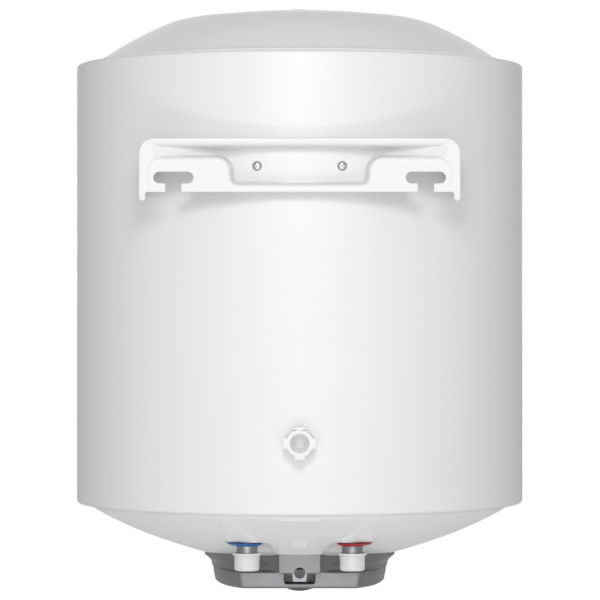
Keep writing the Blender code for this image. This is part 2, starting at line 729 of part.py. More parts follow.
def make_dip_tubes():
    """Plastic tubes that stand in the nipples' bores: a tall one for hot, a diffuser for cold."""
    outer, inner = PORT_BORE_R - GAP, PORT_BORE_R - 0.0015
    tube("hot_dip_tube", outer, inner, DIP_TUBE_TOP, DIP_TUBE_END, WHITE_PLASTIC, -PORT_X, PORT_Y, 16)
    profile = [
        (0.0, DIFFUSER_TOP), (DIFFUSER_R, DIFFUSER_TOP - 0.002),
        (DIFFUSER_R, DIFFUSER_TOP - 0.006), (0.0085, DIFFUSER_TOP - 0.009),
        (outer, DIFFUSER_TOP - 0.018), (outer, DIP_TUBE_END), (inner, DIP_TUBE_END),
        (inner, DIFFUSER_TOP - 0.008), (0.0, DIFFUSER_TOP - 0.005),
    ]
    diffuser = turned("cold_diffuser", profile, WHITE_PLASTIC, PORT_X, PORT_Y, 16, closed=False)
    vent = box("cut_diffuser", (PORT_X - 0.030, PORT_Y - 0.003, -0.278),
               (PORT_X + 0.030, PORT_Y + 0.003, -0.2725), helper=True)
    boolean(diffuser, vent)


# Heating flange

def bolt_places():
    turns = [2 * math.pi * (i + 0.5) / BOLT_COUNT for i in range(BOLT_COUNT)]
    return [(BOLT_CIRCLE_R * math.cos(a), AXIS_Y + BOLT_CIRCLE_R * math.sin(a)) for a in turns]


def make_flange():
    profile = [
        (COLLAR_R, COLLAR_TOP), (COLLAR_R, COLLAR_RING), (FLANGE_R, COLLAR_RING),
        (FLANGE_R, GASKET_TOP + GAP), (FLANGE_BORE_R, GASKET_TOP + GAP),
        (FLANGE_BORE_R, COLLAR_TOP),
    ]
    collar = turned("flange_collar", profile, ZINC_STEEL, steps=INNER_STEPS)
    gasket = tube("flange_gasket", FLANGE_R - 0.001, FLANGE_BORE_R, GASKET_TOP, PLATE_TOP + GAP,
                  RUBBER, steps=INNER_STEPS)
    plate = drum("flange_plate", FLANGE_R, PLATE_TOP, PLATE_BOTTOM, ZINC_STEEL, steps=INNER_STEPS)
    for number, (x, y) in enumerate(bolt_places(), 1):
        hole = drum(f"cut_bolt_{number}", BOLT_R + 2 * GAP, COLLAR_RING + 0.010, PLATE_BOTTOM - 0.010,
                    x=x, y=y, steps=9, helper=True)
        for ring in (collar, gasket, plate):
            boolean(ring, hole)
        make_bolt(number, x, y)
    for name, x, y, radius in (
        ("left", ELEMENT_X, ELEMENT_Y, ELEMENT_R), ("right", -ELEMENT_X, ELEMENT_Y, ELEMENT_R),
        ("well", 0.0, AXIS_Y, WELL_R), ("anode", 0.0, ANODE_Y, ANODE_STUD_R),
    ):
        hole = drum(f"cut_plate_{name}", radius + GAP, PLATE_TOP + 0.01, PLATE_BOTTOM - 0.01,
                    x=x, y=y, helper=True)
        boolean(plate, hole)


def make_bolt(number, x, y):
    """A hexagon-headed bolt, head down."""
    head = drum(f"flange_bolt_{number}", BOLT_HEAD_R, PLATE_BOTTOM - GAP,
                PLATE_BOTTOM - GAP - BOLT_HEAD_H, ZINC_STEEL, x, y, 6)
    shank = drum(f"bolt_shank_{number}", BOLT_R, COLLAR_RING + 0.001, PLATE_BOTTOM - 0.002,
                 x=x, y=y, steps=8, helper=True)
    boolean(head, shank, "UNION")


def make_element():
    """One hairpin, both legs through the plate."""
    bend = ELEMENT_TOP - ELEMENT_X
    left = [(ELEMENT_X, ELEMENT_Y, z) for z in (-0.3382, -0.300, -0.240)]
    over = [
        (ELEMENT_X * math.cos(a), ELEMENT_Y, bend + ELEMENT_X * math.sin(a))
        for a in [math.pi * i / 10 for i in range(11)]
    ]
    right = [(-x, y, z) for x, y, z in left[::-1]]
    rod("heating_element", left + over + right, ELEMENT_R, COPPER)


def make_anode():
    profile = [
        (0.0, ANODE_TOP), (0.0085, ANODE_TOP), (ANODE_R, ANODE_TOP - 0.002), (ANODE_R, ANODE_END),
        (ANODE_STUD_R, ANODE_END - 0.0005), (ANODE_STUD_R, ANODE_STUD_END),
        (0.0, ANODE_STUD_END),
    ]
    turned("anode_rod", profile, MAGNESIUM, y=ANODE_Y, steps=16)
    nut = drum("anode_nut", NUT_R, PLATE_BOTTOM - GAP, PLATE_BOTTOM - 0.0045, ZINC_STEEL,
               y=ANODE_Y, steps=6)
    hole = drum("cut_nut", ANODE_STUD_R + GAP, PLATE_BOTTOM + 0.01, PLATE_BOTTOM - 0.01, y=ANODE_Y, steps=12,
                helper=True)
    boolean(nut, hole)


def make_thermostat():
    low = PLATE_BOTTOM - 0.0030
    profile = [
        (0.0, WELL_TOP), (0.0045, WELL_TOP), (WELL_R, WELL_TOP - 0.0015), (WELL_R, low),
        (PROBE_R + 0.0008, low), (PROBE_R + 0.0008, WELL_TOP - 0.004), (0.0, WELL_TOP - 0.003),
    ]
    turned("thermowell", profile, COPPER, steps=16)
    drum("thermostat_probe", PROBE_R, WELL_TOP - 0.006, THERMOSTAT_TOP + GAP, ZINC_STEEL)
    half = THERMOSTAT_HALF
    body = box("thermostat_body", (-half, AXIS_Y - half, THERMOSTAT_BOTTOM),
               (half, AXIS_Y + half, THERMOSTAT_TOP), BLACK_PLASTIC)
    bevelled(body, 0.002)
    pit = drum("cut_reset", RESET_R + 0.0004, THERMOSTAT_BOTTOM + 0.0065, THERMOSTAT_BOTTOM - 0.010,
               x=RESET_X, helper=True)
    boolean(body, pit)
    profile = [
        (0.0, THERMOSTAT_BOTTOM + 0.0040), (RESET_R, THERMOSTAT_BOTTOM + 0.0040),
        (RESET_R, THERMOSTAT_BOTTOM - 0.0025), (0.0018, THERMOSTAT_BOTTOM - 0.0030),
        (0.0, THERMOSTAT_BOTTOM - 0.0030),
    ]
    turned("reset_button", profile, RED_PLASTIC, x=RESET_X, steps=16)
    drum("thermostat_spindle", SPINDLE_R, THERMOSTAT_BOTTOM - GAP, KNOB_BOTTOM + 0.0045, ZINC_STEEL)
    box("terminal_block", (-TERMINAL_HALF, TERMINAL_NEAR, TERMINAL_BOTTOM),
        (TERMINAL_HALF, TERMINAL_FAR, TERMINAL_TOP), WHITE_PLASTIC)
    drum("earth_stud", EARTH_R, PLATE_BOTTOM - GAP, PLATE_BOTTOM - EARTH_LENGTH, ZINC_STEEL,
         x=EARTH_X, y=EARTH_Y, steps=12)


def make_wires():
    """Three leads from the terminal block to the thermostat and the earth stud."""
    start_y = TERMINAL_NEAR - GAP
    end_y = AXIS_Y + THERMOSTAT_HALF + GAP
    for name, x, material in (("wire_live", 0.009, WIRE_BROWN), ("wire_neutral", 0.001, WIRE_BLUE)):
        route = [
            (x, start_y, WIRE_LOW), (x, start_y - 0.006, WIRE_LOW), (x, AXIS_Y + 0.042, WIRE_HIGH),
            (x, end_y + 0.005, WIRE_HIGH), (x, end_y, WIRE_HIGH),
        ]
        rod(name, smooth_line(route, 4), WIRE_R, material)
    stud_z = PLATE_BOTTOM - EARTH_LENGTH - GAP
    route = [
        (-0.009, start_y, WIRE_LOW), (-0.010, start_y - 0.008, WIRE_LOW),
        (-0.026, AXIS_Y + 0.036, -0.362), (EARTH_X, EARTH_Y + 0.002, WIRE_HIGH),
        (EARTH_X, EARTH_Y, stud_z),
    ]
    rod("wire_earth", smooth_line(route, 4), WIRE_R, WIRE_EARTH)


# Control cover: half outlines of (x, distance behind the heater's axis), rear to front

COVER_LOW = [
    (0.0, 0.107), (0.020, 0.107), (0.040, 0.107), (0.057, 0.106), (0.066, 0.099), (0.0725, 0.086),
    (0.0775, 0.0635), (0.0805, 0.041), (0.083, 0.018), (0.0835, 0.0),
]
COVER_MID = [
    (0.0, 0.105), (0.020, 0.105), (0.040, 0.105), (0.055, 0.1045), (0.066, 0.095), (0.0745, 0.080),
    (0.0805, 0.060), (0.0845, 0.040), (0.0870, 0.018), (0.0875, 0.0),
]
COVER_HIGH = [
    (0.0, 0.104), (0.020, 0.104), (0.0318, 0.097), (0.0395, 0.092), (0.0525, 0.0865),
    (0.0655, 0.080), (0.0773, 0.068), (0.0870, 0.045), (0.0930, 0.018), (0.0940, 0.0),
]


def cover_ring(half, z, inset=0.0):
    """A closed section: the rear half outline, a half ellipse in front, and their mirror image."""
    side = half[-1][0]
    front = [
        (side * math.cos(a), -FRONT_DEPTH * side / COVER_LOW[-1][0] * math.sin(a))
        for a in [math.pi / 2 * i / 9 for i in range(1, 10)]
    ]
    right = half + front
    left = [(-x, y) for x, y in right[-2:0:-1]]
    ring = [Vector(p) for p in right + left]
    count = len(ring)
    points = []
    for i, point in enumerate(ring):
        along = (ring[(i + 1) % count] - ring[i - 1]).normalized()
        inward = Vector((along.y, -along.x))
        moved = point + inward * inset
        points.append((moved.x, AXIS_Y + moved.y, z))
    return points


def blend_outline(a, b, share):
    return [(p[0] + (q[0] - p[0]) * share, p[1] + (q[1] - p[1]) * share) for p, q in zip(a, b)]


def cover_body(name, inset, floor, helper):
    waist = blend_outline(COVER_MID, COVER_HIGH, 0.30)
    rings = [
        cover_ring(COVER_HIGH, COVER_RIM_TOP, inset), cover_ring(COVER_HIGH, COVER_RIM, inset),
        cover_ring(waist, COVER_WAIST, inset), cover_ring(COVER_MID, LEDGE_Z, inset),
        cover_ring(COVER_LOW, LEDGE_Z - 0.0008, inset), cover_ring(COVER_LOW, floor + 0.0055, inset),
        cover_ring(COVER_LOW, floor + 0.0018, inset + 0.3 * COVER_CORNER),
        cover_ring(COVER_LOW, floor, inset + COVER_CORNER),
    ]
    return loft(name, rings, None if helper else GREY_PLASTIC, helper)


def make_control_cover():
    cover = cover_body("control_cover", 0.0, FLOOR_Z, False)
    block = box("rear_block", (-BLOCK_HALF, AXIS_Y + 0.090, LEDGE_Z - GAP),
                (BLOCK_HALF, BLOCK_Y, -0.331), helper=True)
    boolean(cover, block, "UNION", "MANIFOLD")
    wall = FLOOR_WALL
    hollow = cover_body("cut_cover_hollow", wall, FLOOR_Z + wall, True)
    boolean(cover, hollow, solver="MANIFOLD")
    room = box("cut_block_room", (-BLOCK_HALF + wall, AXIS_Y + 0.080, LEDGE_Z + wall),
               (BLOCK_HALF - wall, BLOCK_Y - wall, -0.320), helper=True)
    boolean(cover, room, solver="MANIFOLD")
    for side, word in ((1, "cold"), (-1, "hot")):
        screw = drum(f"cut_cover_screw_{word}", 0.0022, CUT_TOP, CUT_BOTTOM, x=side * POST_X, steps=10,
                     helper=True)
        boolean(cover, screw, solver="MANIFOLD")
    pocket = box("cut_pocket", (-POCKET_HALF, AXIS_Y + 0.099, POCKET_BOTTOM),
                 (POCKET_HALF, AXIS_Y + 0.115, LEDGE_Z + 0.0012), helper=True)
    boolean(cover, pocket, solver="MANIFOLD")
    cable = drum("cut_cable", CABLE_R, 0.030, -0.030, y=AXIS_Y + 0.110, z=CABLE_Z, steps=20,
                 rotation=(math.radians(90), 0, 0), helper=True)
    boolean(cover, cable, solver="MANIFOLD")
    spindle = drum("cut_spindle", 0.0045, CUT_TOP, CUT_BOTTOM, helper=True)
    boolean(cover, spindle, solver="MANIFOLD")
    lamp = drum("cut_lamp", LENS_R + GAP, CUT_TOP, CUT_BOTTOM, y=LAMP_Y, helper=True)
    boolean(cover, lamp, solver="MANIFOLD")
    under = [(r, JACKET_BOTTOM - d - 0.0005) for r, d in BOTTOM_DISH[::-1] if r <= 0.180]
    dish = turned("cut_cover_dish", [(0.0, JACKET_BOTTOM), (0.180, JACKET_BOTTOM)] + under, None,
                  closed=False, helper=True)
    boolean(cover, dish, solver="MANIFOLD")


def make_cable_clamp():
    """The tongue under the cable, on a bar that reaches into the cover's pocket."""
    top, tip = LEDGE_Z - GAP, CLAMP_TIP
    outline = [
        (CLAMP_TOP_HALF, top), (CLAMP_TIP_HALF, tip), (-CLAMP_TIP_HALF, tip),
        (-CLAMP_TOP_HALF, top),
    ]
    tongue = prism("cable_clamp", outline, BLOCK_Y - 0.0001, BLOCK_Y - 0.0029, PALE_PLASTIC)
    bar = box("clamp_bar", (-CLAMP_BAR_HALF, AXIS_Y + 0.100, tip + 0.0002),
              (CLAMP_BAR_HALF, BLOCK_Y - 0.0015, tip + 0.0024), helper=True)
    boolean(tongue, bar, "UNION")
    hole = drum("cut_clamp", CABLE_R, 0.020, -0.020, y=BLOCK_Y, z=CABLE_Z, steps=20,
                rotation=(math.radians(90), 0, 0), helper=True)
    boolean(tongue, hole)


def make_cover_screws():
    for side, word in ((1, "left"), (-1, "right")):
        head = FLOOR_Z - GAP
        profile = [
            (0.0, COVER_SCREW_TOP), (COVER_SCREW_R, COVER_SCREW_TOP - 0.001),
            (COVER_SCREW_R, head), (COVER_SCREW_HEAD_R, head),
            (0.0036, head - 0.0014), (0.0020, head - 0.0021), (0.0, head - 0.0022),
        ]
        turned(f"cover_screw_{word}", profile, ZINC_STEEL, x=side * POST_X, steps=16)


def make_knob():
    """A crowned dial with a pointer rib, on the thermostat's spindle."""
    centre = KNOB_BOTTOM + KNOB_CROWN_R
    crown = [
        (KNOB_CROWN_R * math.sin(a), centre - KNOB_CROWN_R * math.cos(a))
        for a in [math.asin(r / KNOB_CROWN_R) for r in (0.0185, 0.014, 0.009, 0.004)]
    ]
    profile = [
        (KNOB_BORE_R, KNOB_TOP), (0.0195, KNOB_TOP), (KNOB_R, -0.3806), (KNOB_R, -0.3828),
        (0.0203, -0.3843),
    ] + crown + [(0.0, KNOB_BOTTOM), (0.0, KNOB_BOTTOM + KNOB_BORE_DEPTH),
                 (KNOB_BORE_R, KNOB_BOTTOM + KNOB_BORE_DEPTH)]
    knob = turned("temperature_knob", profile, DARK_PLASTIC, steps=32)
    rib = box("cut_pointer", (-POINTER_HALF, AXIS_Y - 0.0190, -0.3920),
              (POINTER_HALF, AXIS_Y - 0.0080, -0.3868), helper=True)
    return boolean(knob, rib)


def make_pilot_lamp():
    lens = [
        (0.0, LENS_TOP), (LENS_RIM_R, LENS_TOP), (LENS_RIM_R, LENS_RIM), (LENS_R, LENS_RIM),
        (LENS_R, LENS_BOTTOM + 0.0018), (0.0026, LENS_BOTTOM + 0.0005), (0.0, LENS_BOTTOM),
    ]
    turned("pilot_lens", lens, LENS_RED, y=LAMP_Y, steps=16)
    drum("pilot_lamp", LAMP_R, LAMP_TOP, LAMP_BOTTOM, WHITE_PLASTIC, y=LAMP_Y, steps=12)


def main():
    make_jacket()
    make_top_cover()
    make_foam_plug()
    make_bottom_cover()
    make_tank()
    make_foam()
    make_bracket()
    make_bracket_screws()
    make_hanger_plate()
    make_spacer()
    make_ports()
    make_dip_tubes()
    make_flange()
    make_element()
    make_anode()
    make_thermostat()
    make_wires()
    make_control_cover()
    make_cable_clamp()
    make_cover_screws()
    make_knob()
    make_pilot_lamp()


main()
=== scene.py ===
"""Looks for a round wall-hung electric water heater, seen from its wall side.

Metres. +Z is up and +Y points at the wall, whose face is y = 0. The jacket stands on the
vertical axis x = 0, y = AXIS_Y.
"""

import math

import bmesh
import bpy
import numpy as np
from mathutils import Matrix, Vector, geometry


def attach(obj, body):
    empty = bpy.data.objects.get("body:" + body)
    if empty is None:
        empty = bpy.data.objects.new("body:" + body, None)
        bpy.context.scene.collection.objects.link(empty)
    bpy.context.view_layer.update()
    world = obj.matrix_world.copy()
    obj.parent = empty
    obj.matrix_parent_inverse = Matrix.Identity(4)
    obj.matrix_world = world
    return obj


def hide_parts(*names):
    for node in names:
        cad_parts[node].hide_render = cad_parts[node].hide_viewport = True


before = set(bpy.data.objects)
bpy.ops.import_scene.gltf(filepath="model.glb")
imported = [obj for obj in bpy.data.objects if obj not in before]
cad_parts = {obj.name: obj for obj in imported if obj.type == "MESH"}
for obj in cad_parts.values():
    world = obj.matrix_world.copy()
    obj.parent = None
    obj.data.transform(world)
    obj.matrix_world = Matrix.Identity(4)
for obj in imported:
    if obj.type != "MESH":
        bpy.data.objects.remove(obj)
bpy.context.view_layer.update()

AXIS_Y = -0.240
JACKET_R = 0.220
JACKET_TOP = 0.1289
JACKET_BOTTOM = -0.3022
EYE_Z = -0.1025
PORT_X = 0.050
PORT_Y = -0.105
SEAT_Z = -0.3326
CABLE_Z = -0.3628
LAMP_Y = -0.300
COVER_SCREW_X = 0.068
BRACKET_SCREW_X = 0.0392
BRACKET_SCREW_Z = 0.0213
RECESS_R = 0.2223
SPACER_Z = -0.2342
CENTRE = (0.0, 0.0, 0.0)
TO_WALL = Matrix.Rotation(math.radians(-90), 4, "X")


def linked(name, data):
    """A new object on the scene."""
    made = bpy.data.objects.new(name, data)
    bpy.context.scene.collection.objects.link(made)
    return made


def step(tree, kind, feeds=None, **settings):
    """One node; feeds maps an input's name or index to a socket or a value."""
    made = tree.nodes.new(kind)
    for key, value in settings.items():
        setattr(made, key, value)
    for key, value in (feeds or {}).items():
        if isinstance(value, bpy.types.NodeSocket):
            tree.links.new(value, made.inputs[key])
        else:
            made.inputs[key].default_value = value
    return made


def figure(tree, operation, *values):
    """The outcome of one sum on sockets and numbers."""
    return step(tree, "ShaderNodeMath", dict(enumerate(values)), operation=operation).outputs[0]


# Camera, lights and floor

def make_camera():
    data = bpy.data.cameras.new("eye")
    data.lens = 195.94
    data.sensor_width = 36.0
    data.shift_x = 0.0006
    data.clip_end = 60.0
    made = linked("eye", data)
    made.location = (0.0, 2.995, EYE_Z)
    made.rotation_euler = (math.radians(90), 0.0, math.radians(180))
    bpy.context.scene.camera = made


def soft_light(name, place, aim, size, power, shape="RECTANGLE", height=None):
    data = bpy.data.lights.new(name, "AREA")
    data.shape = shape
    data.size = size
    if height:
        data.size_y = height
    data.energy = power
    made = linked(name, data)
    made.location = place
    made.rotation_euler = (Vector(aim) - Vector(place)).to_track_quat("-Z", "Y").to_euler()
    made.visible_camera = False


LIGHT = {"key": 4.4, "front": 24.0, "low": 6.7, "back": 26.0, "world": 0.451}


def make_lights():
    soft_light("key", (0.0, 1.15, 0.42), (0.0, -0.03, -0.08), 0.30, LIGHT["key"], "DISK")
    soft_light("front", (0.0, 3.4, 0.0), (0.0, -0.2, -0.1), 2.2, LIGHT["front"], height=2.0)
    soft_light("low", (0.0, 1.3, -0.85), (0.0, -0.1, -0.30), 1.8, LIGHT["low"], height=0.5)
    soft_light("back", (0.0, -3.4, 0.8), (0.0, -0.3, -0.1), 2.4, LIGHT["back"], height=2.0)


def make_world():
    """Even fill on the object, plain white behind it."""
    world = bpy.data.worlds.new("studio")
    bpy.context.scene.world = world
    world.use_nodes = True
    tree = world.node_tree
    tree.nodes.clear()
    fill, seen = [step(tree, "ShaderNodeBackground", {
        "Color": (1.0, 1.0, 1.0, 1.0), "Strength": strength}) for strength in (LIGHT["world"], 1.0)]
    path = step(tree, "ShaderNodeLightPath")
    mix = step(tree, "ShaderNodeMixShader", {
        0: path.outputs["Is Camera Ray"], 1: fill.outputs[0], 2: seen.outputs[0]})
    step(tree, "ShaderNodeOutputWorld", {0: mix.outputs[0]})


def make_floor():
    mesh = bpy.data.meshes.new("floor")
    shape = bmesh.new()
    bmesh.ops.create_circle(shape, cap_ends=True, segments=96, radius=3.6)
    shape.to_mesh(mesh)
    shape.free()
    floor = linked("floor", mesh)
    floor.location = (0.0, AXIS_Y, -0.85)
    material, tree, shader = shader_tree("studio_floor", (0.86, 0.86, 0.86), 0.8)
    place = step(tree, "ShaderNodeTexCoord")
    reach = step(tree, "ShaderNodeVectorMath", {0: place.outputs["Object"]}, operation="LENGTH")
    fade = step(tree, "ShaderNodeMapRange", {
        "Value": reach.outputs["Value"], "From Min": 1.2, "From Max": 3.4},
        interpolation_type="SMOOTHSTEP")
    clear = step(tree, "ShaderNodeBsdfTransparent")
    mix = step(tree, "ShaderNodeMixShader", {
        0: fade.outputs["Result"], 1: shader.outputs[0], 2: clear.outputs[0]})
    tree.links.new(mix.outputs[0], tree.nodes["Material Output"].inputs["Surface"])
    mesh.materials.append(material)


# Finishes

def shader_tree(name, colour, roughness, metallic=0.0):
    material = bpy.data.materials.new(name)
    material.use_nodes = True
    tree = material.node_tree
    shader = tree.nodes["Principled BSDF"]
    shader.inputs["Base Color"].default_value = (*colour, 1.0)
    shader.inputs["Roughness"].default_value = roughness
    shader.inputs["Metallic"].default_value = metallic
    return material, tree, shader


def grain(tree, scale, detail=3.0, stretch=(1.0, 1.0, 1.0)):
    """Noise on the piece's own coordinates; scale counts features to the metre."""
    place = step(tree, "ShaderNodeTexCoord")
    spread = step(tree, "ShaderNodeMapping", {
        "Vector": place.outputs["Object"], "Scale": stretch})
    noise = step(tree, "ShaderNodeTexNoise", {
        "Vector": spread.outputs["Vector"], "Scale": scale, "Detail": detail})
    return noise.outputs["Fac"]


def spread_value(tree, source, low, high, into):
    """Stretches a 0 to 1 pattern to low..high and drives a socket with it."""
    fit = step(tree, "ShaderNodeMapRange", {
        "Value": source, "From Min": 0.30, "From Max": 0.70, "To Min": low, "To Max": high})
    tree.links.new(fit.outputs["Result"], into)


def tint(tree, source, first, second, into):
    """Mixes two colours by a pattern."""
    blended = step(tree, "ShaderNodeMix", {
        "A": (*first, 1.0), "B": (*second, 1.0), "Factor": source}, data_type="RGBA")
    tree.links.new(blended.outputs["Result"], into)


def relief(tree, shader, source, strength, depth, under=None):
    """A bump from a pattern, on top of an earlier bump if one is given."""
    bump = step(tree, "ShaderNodeBump", {
        "Strength": strength, "Distance": depth, "Height": source})
    if under:
        tree.links.new(under.outputs["Normal"], bump.inputs["Normal"])
    tree.links.new(bump.outputs["Normal"], shader.inputs["Normal"])
    return bump


def shade(colour, amount):
    return tuple(min(1.0, c * amount) for c in colour)


def moulded(name, colour, roughness=0.45, texture=2400.0, depth=0.00003, spread=0.03,
            metallic=0.0, waviness=0.3):
    """Moulded plastic: fine spark texture, slow sink waves and a slight unevenness of tone."""
    material, tree, shader = shader_tree(name, colour, roughness, metallic)
    spark = grain(tree, texture, 2.0)
    slow = grain(tree, 22.0, 2.0)
    tint(tree, slow, shade(colour, 1.0 - spread), shade(colour, 1.0 + spread),
         shader.inputs["Base Color"])
    spread_value(tree, spark, roughness - 0.05, roughness + 0.06, shader.inputs["Roughness"])
    wave = relief(tree, shader, slow, waviness, 0.0002)
    relief(tree, shader, spark, 0.5, depth, wave)
    return material, tree, shader


def enamelled(name, colour, roughness, peel=520.0):
    """Stoved powder coat: orange peel, soft sheen and faint clouding."""
    material, tree, shader = shader_tree(name, colour, roughness)
    cloud = grain(tree, 9.0, 2.0)
    skin = grain(tree, peel, 1.5)
    fine = grain(tree, peel * 6, 2.0)
    tint(tree, cloud, shade(colour, 0.985), shade(colour, 1.01), shader.inputs["Base Color"])
    spread_value(tree, fine, roughness - 0.04, roughness + 0.04, shader.inputs["Roughness"])
    peel_bump = relief(tree, shader, skin, 0.25, 0.00006)
    relief(tree, shader, fine, 0.2, 0.00001, peel_bump)
    return material, tree, shader


def metal(name, colour, roughness, stretch=(1.0, 1.0, 1.0), scale=900.0, depth=0.00002,
          spread=0.12):
    """Bare or plated metal with drawn or turned lines along the stretch's short directions."""
    material, tree, shader = shader_tree(name, colour, roughness, 1.0)
    lines = grain(tree, scale, 3.0, stretch)
    blotch = grain(tree, 140.0, 3.0)
    tint(tree, blotch, shade(colour, 1.0 - spread), shade(colour, 1.0 + spread),
         shader.inputs["Base Color"])
    spread_value(tree, lines, roughness - 0.08, roughness + 0.10, shader.inputs["Roughness"])
    relief(tree, shader, lines, 0.6, depth)
    return material, tree, shader


def seam_line(tree, shader):
    """The jacket's lock seam: one narrow vertical line on the wall side."""
    place = step(tree, "ShaderNodeTexCoord")
    parts = step(tree, "ShaderNodeSeparateXYZ", {0: place.outputs["Object"]})
    off = figure(tree, "ABSOLUTE", figure(tree, "ADD", parts.outputs["X"], 0.0706))
    ridge = step(tree, "ShaderNodeMapRange", {
        "Value": off, "From Min": 0.0, "From Max": 0.0009}, interpolation_type="SMOOTHSTEP")
    front = figure(tree, "LESS_THAN", parts.outputs["Y"], AXIS_Y)
    height = figure(tree, "MAXIMUM", ridge.outputs["Result"], front)
    before = shader.inputs["Normal"].links[0].from_node
    relief(tree, shader, height, 0.5, 0.0002, before)


def make_finishes():
    kinds = (
        (enamelled, "jacket_enamel", (0.86, 0.86, 0.865), 0.42, {}),
        (enamelled, "bracket_enamel", (0.83, 0.83, 0.83), 0.38, {"peel": 900.0}),
        (enamelled, "tank_enamel", (0.05, 0.08, 0.16), 0.26, {"peel": 300.0}),
        (moulded, "lid_plastic", (0.93, 0.93, 0.93), 0.50,
         {"texture": 1500.0, "waviness": 0.1, "spread": 0.008}),
        (moulded, "spacer_plastic", (0.86, 0.86, 0.86), 0.40, {"spread": 0.01}),
        (moulded, "cap_polythene", (0.82, 0.82, 0.82), 0.38, {"texture": 1800.0, "spread": 0.01}),
        (moulded, "silver_plastic", (0.25, 0.253, 0.26), 0.40,
         {"texture": 3200.0, "depth": 0.00002, "metallic": 0.6, "waviness": 0.1}),
        (moulded, "clamp_plastic", (0.47, 0.48, 0.50), 0.42, {"spread": 0.02}),
        (moulded, "dial_plastic", (0.05, 0.05, 0.055), 0.48, {}),
        (moulded, "thermoset", (0.02, 0.02, 0.02), 0.55, {"texture": 1400.0, "depth": 0.00006}),
        (moulded, "blue_plastic", (0.03, 0.15, 0.46), 0.42, {}),
        (moulded, "red_plastic", (0.46, 0.02, 0.03), 0.42, {}),
        (moulded, "foam", (0.84, 0.72, 0.42), 0.92,
         {"texture": 420.0, "depth": 0.0006, "spread": 0.09}),
        (moulded, "gasket_rubber", (0.02, 0.02, 0.02), 0.75, {"texture": 900.0, "depth": 0.00008}),
        (moulded, "lens_red", (0.62, 0.02, 0.01), 0.16, {"texture": 1200.0, "depth": 0.00001}),
        (moulded, "white_nylon", (0.78, 0.78, 0.74), 0.50, {}),
        (moulded, "wire_brown", (0.20, 0.07, 0.03), 0.45, {"texture": 1800.0, "spread": 0.06}),
        (moulded, "wire_blue", (0.03, 0.12, 0.45), 0.45, {"texture": 1800.0, "spread": 0.06}),
        (moulded, "wire_earth", (0.30, 0.48, 0.05), 0.45, {"texture": 1800.0, "spread": 0.06}),
        (metal, "turned_zinc", (0.34, 0.34, 0.35), 0.40,
         {"stretch": (0.02, 0.02, 1.0), "scale": 2600.0, "depth": 0.000008, "spread": 0.08}),
        (metal, "plated_steel", (0.56, 0.56, 0.57), 0.30, {}),
        (metal, "copper", (0.74, 0.41, 0.27), 0.30, {"stretch": (1.0, 1.0, 0.05), "scale": 1400.0}),
        (metal, "cast_magnesium", (0.55, 0.55, 0.53), 0.62, {"scale": 500.0, "depth": 0.0001}),
    )
    made = {name: maker(name, colour, roughness, **more)
            for maker, name, colour, roughness, more in kinds}
    seam_line(*made["jacket_enamel"][1:])
    cap = made["cap_polythene"][2]
    cap.inputs["Subsurface Weight"].default_value = 0.6
    cap.inputs["Subsurface Radius"].default_value = (0.004, 0.004, 0.004)
    cap.inputs["Subsurface Scale"].default_value = 1.0
    made["lens_red"][2].inputs["Transmission Weight"].default_value = 0.35
    return {name: parts[0] for name, parts in made.items()}


# Mesh helpers

def finish_piece(name, mesh, material, body, replaces, sharp):
    """Welds, turns faces outwards, shades and hands a finished mesh to its body."""
    shape = bmesh.new()
    shape.from_mesh(mesh)
    bmesh.ops.remove_doubles(shape, verts=shape.verts, dist=0.000002)
    bmesh.ops.recalc_face_normals(shape, faces=shape.faces)
    shape.to_mesh(mesh)
    shape.free()
    mesh.shade_smooth()
    mesh.set_sharp_from_angle(angle=math.radians(sharp))
    mesh.materials.clear()
    mesh.materials.append(FINISH[material])
    mesh.name = name
    made = linked(name, mesh)
    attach(made, body)
    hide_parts(*replaces)


def rounded(corners, steps=6, closed=True):
    """Points along a line of (a, b, radius) corners, each rounded to its own radius."""
    line = []
    count = len(corners)
    for i, (a, b, radius) in enumerate(corners):
        here = Vector((a, b))
        if radius <= 0 or (not closed and i in (0, count - 1)):
            line.append((a, b))
            continue
        before = Vector(corners[i - 1][:2]) - here
        after = Vector(corners[(i + 1) % count][:2]) - here
        turn = before.angle(after)
        reach = radius / math.tan(turn / 2)
        reach = min(reach, before.length * 0.499, after.length * 0.499)
        size = reach * math.tan(turn / 2)
        first = here + before.normalized() * reach
        last = here + after.normalized() * reach
        middle = here + (before.normalized() + after.normalized()).normalized() * (
            size / math.sin(turn / 2))
        start = first - middle
        sweep = start.angle_signed(last - middle)
        for step in range(steps + 1):
            spun = start.copy()
            spun.rotate(Matrix.Rotation(-sweep * step / steps, 2))
            line.append(tuple(middle + spun))
    return line


def curve_through(points, per_span=6):
    """A smooth Catmull-Rom line through points."""
    pts = [np.array(p, float) for p in points]
    padded = [2 * pts[0] - pts[1]] + pts + [2 * pts[-1] - pts[-2]]
    line = []
    for p, q, r, s in zip(padded, padded[1:], padded[2:], padded[3:]):
        for step in range(per_span):
            t = step / per_span
            line.append(0.5 * (2 * q + (r - p) * t + (2 * p - 5 * q + 4 * r - s) * t * t
                               + (3 * q - p - 3 * r + s) * t ** 3))
    return [tuple(p) for p in line + [pts[-1]]]


def sheet_faces(rows, columns, around=False):
    """Quads of a grid of points; around joins the last column to the first."""
    faces = []
    for r in range(rows - 1):
        for c in range(columns if around else columns - 1):
            d = (c + 1) % columns
            faces.append((r * columns + c, r * columns + d, (r + 1) * columns + d,
                          (r + 1) * columns + c))
    return faces


# Geometry-node trees

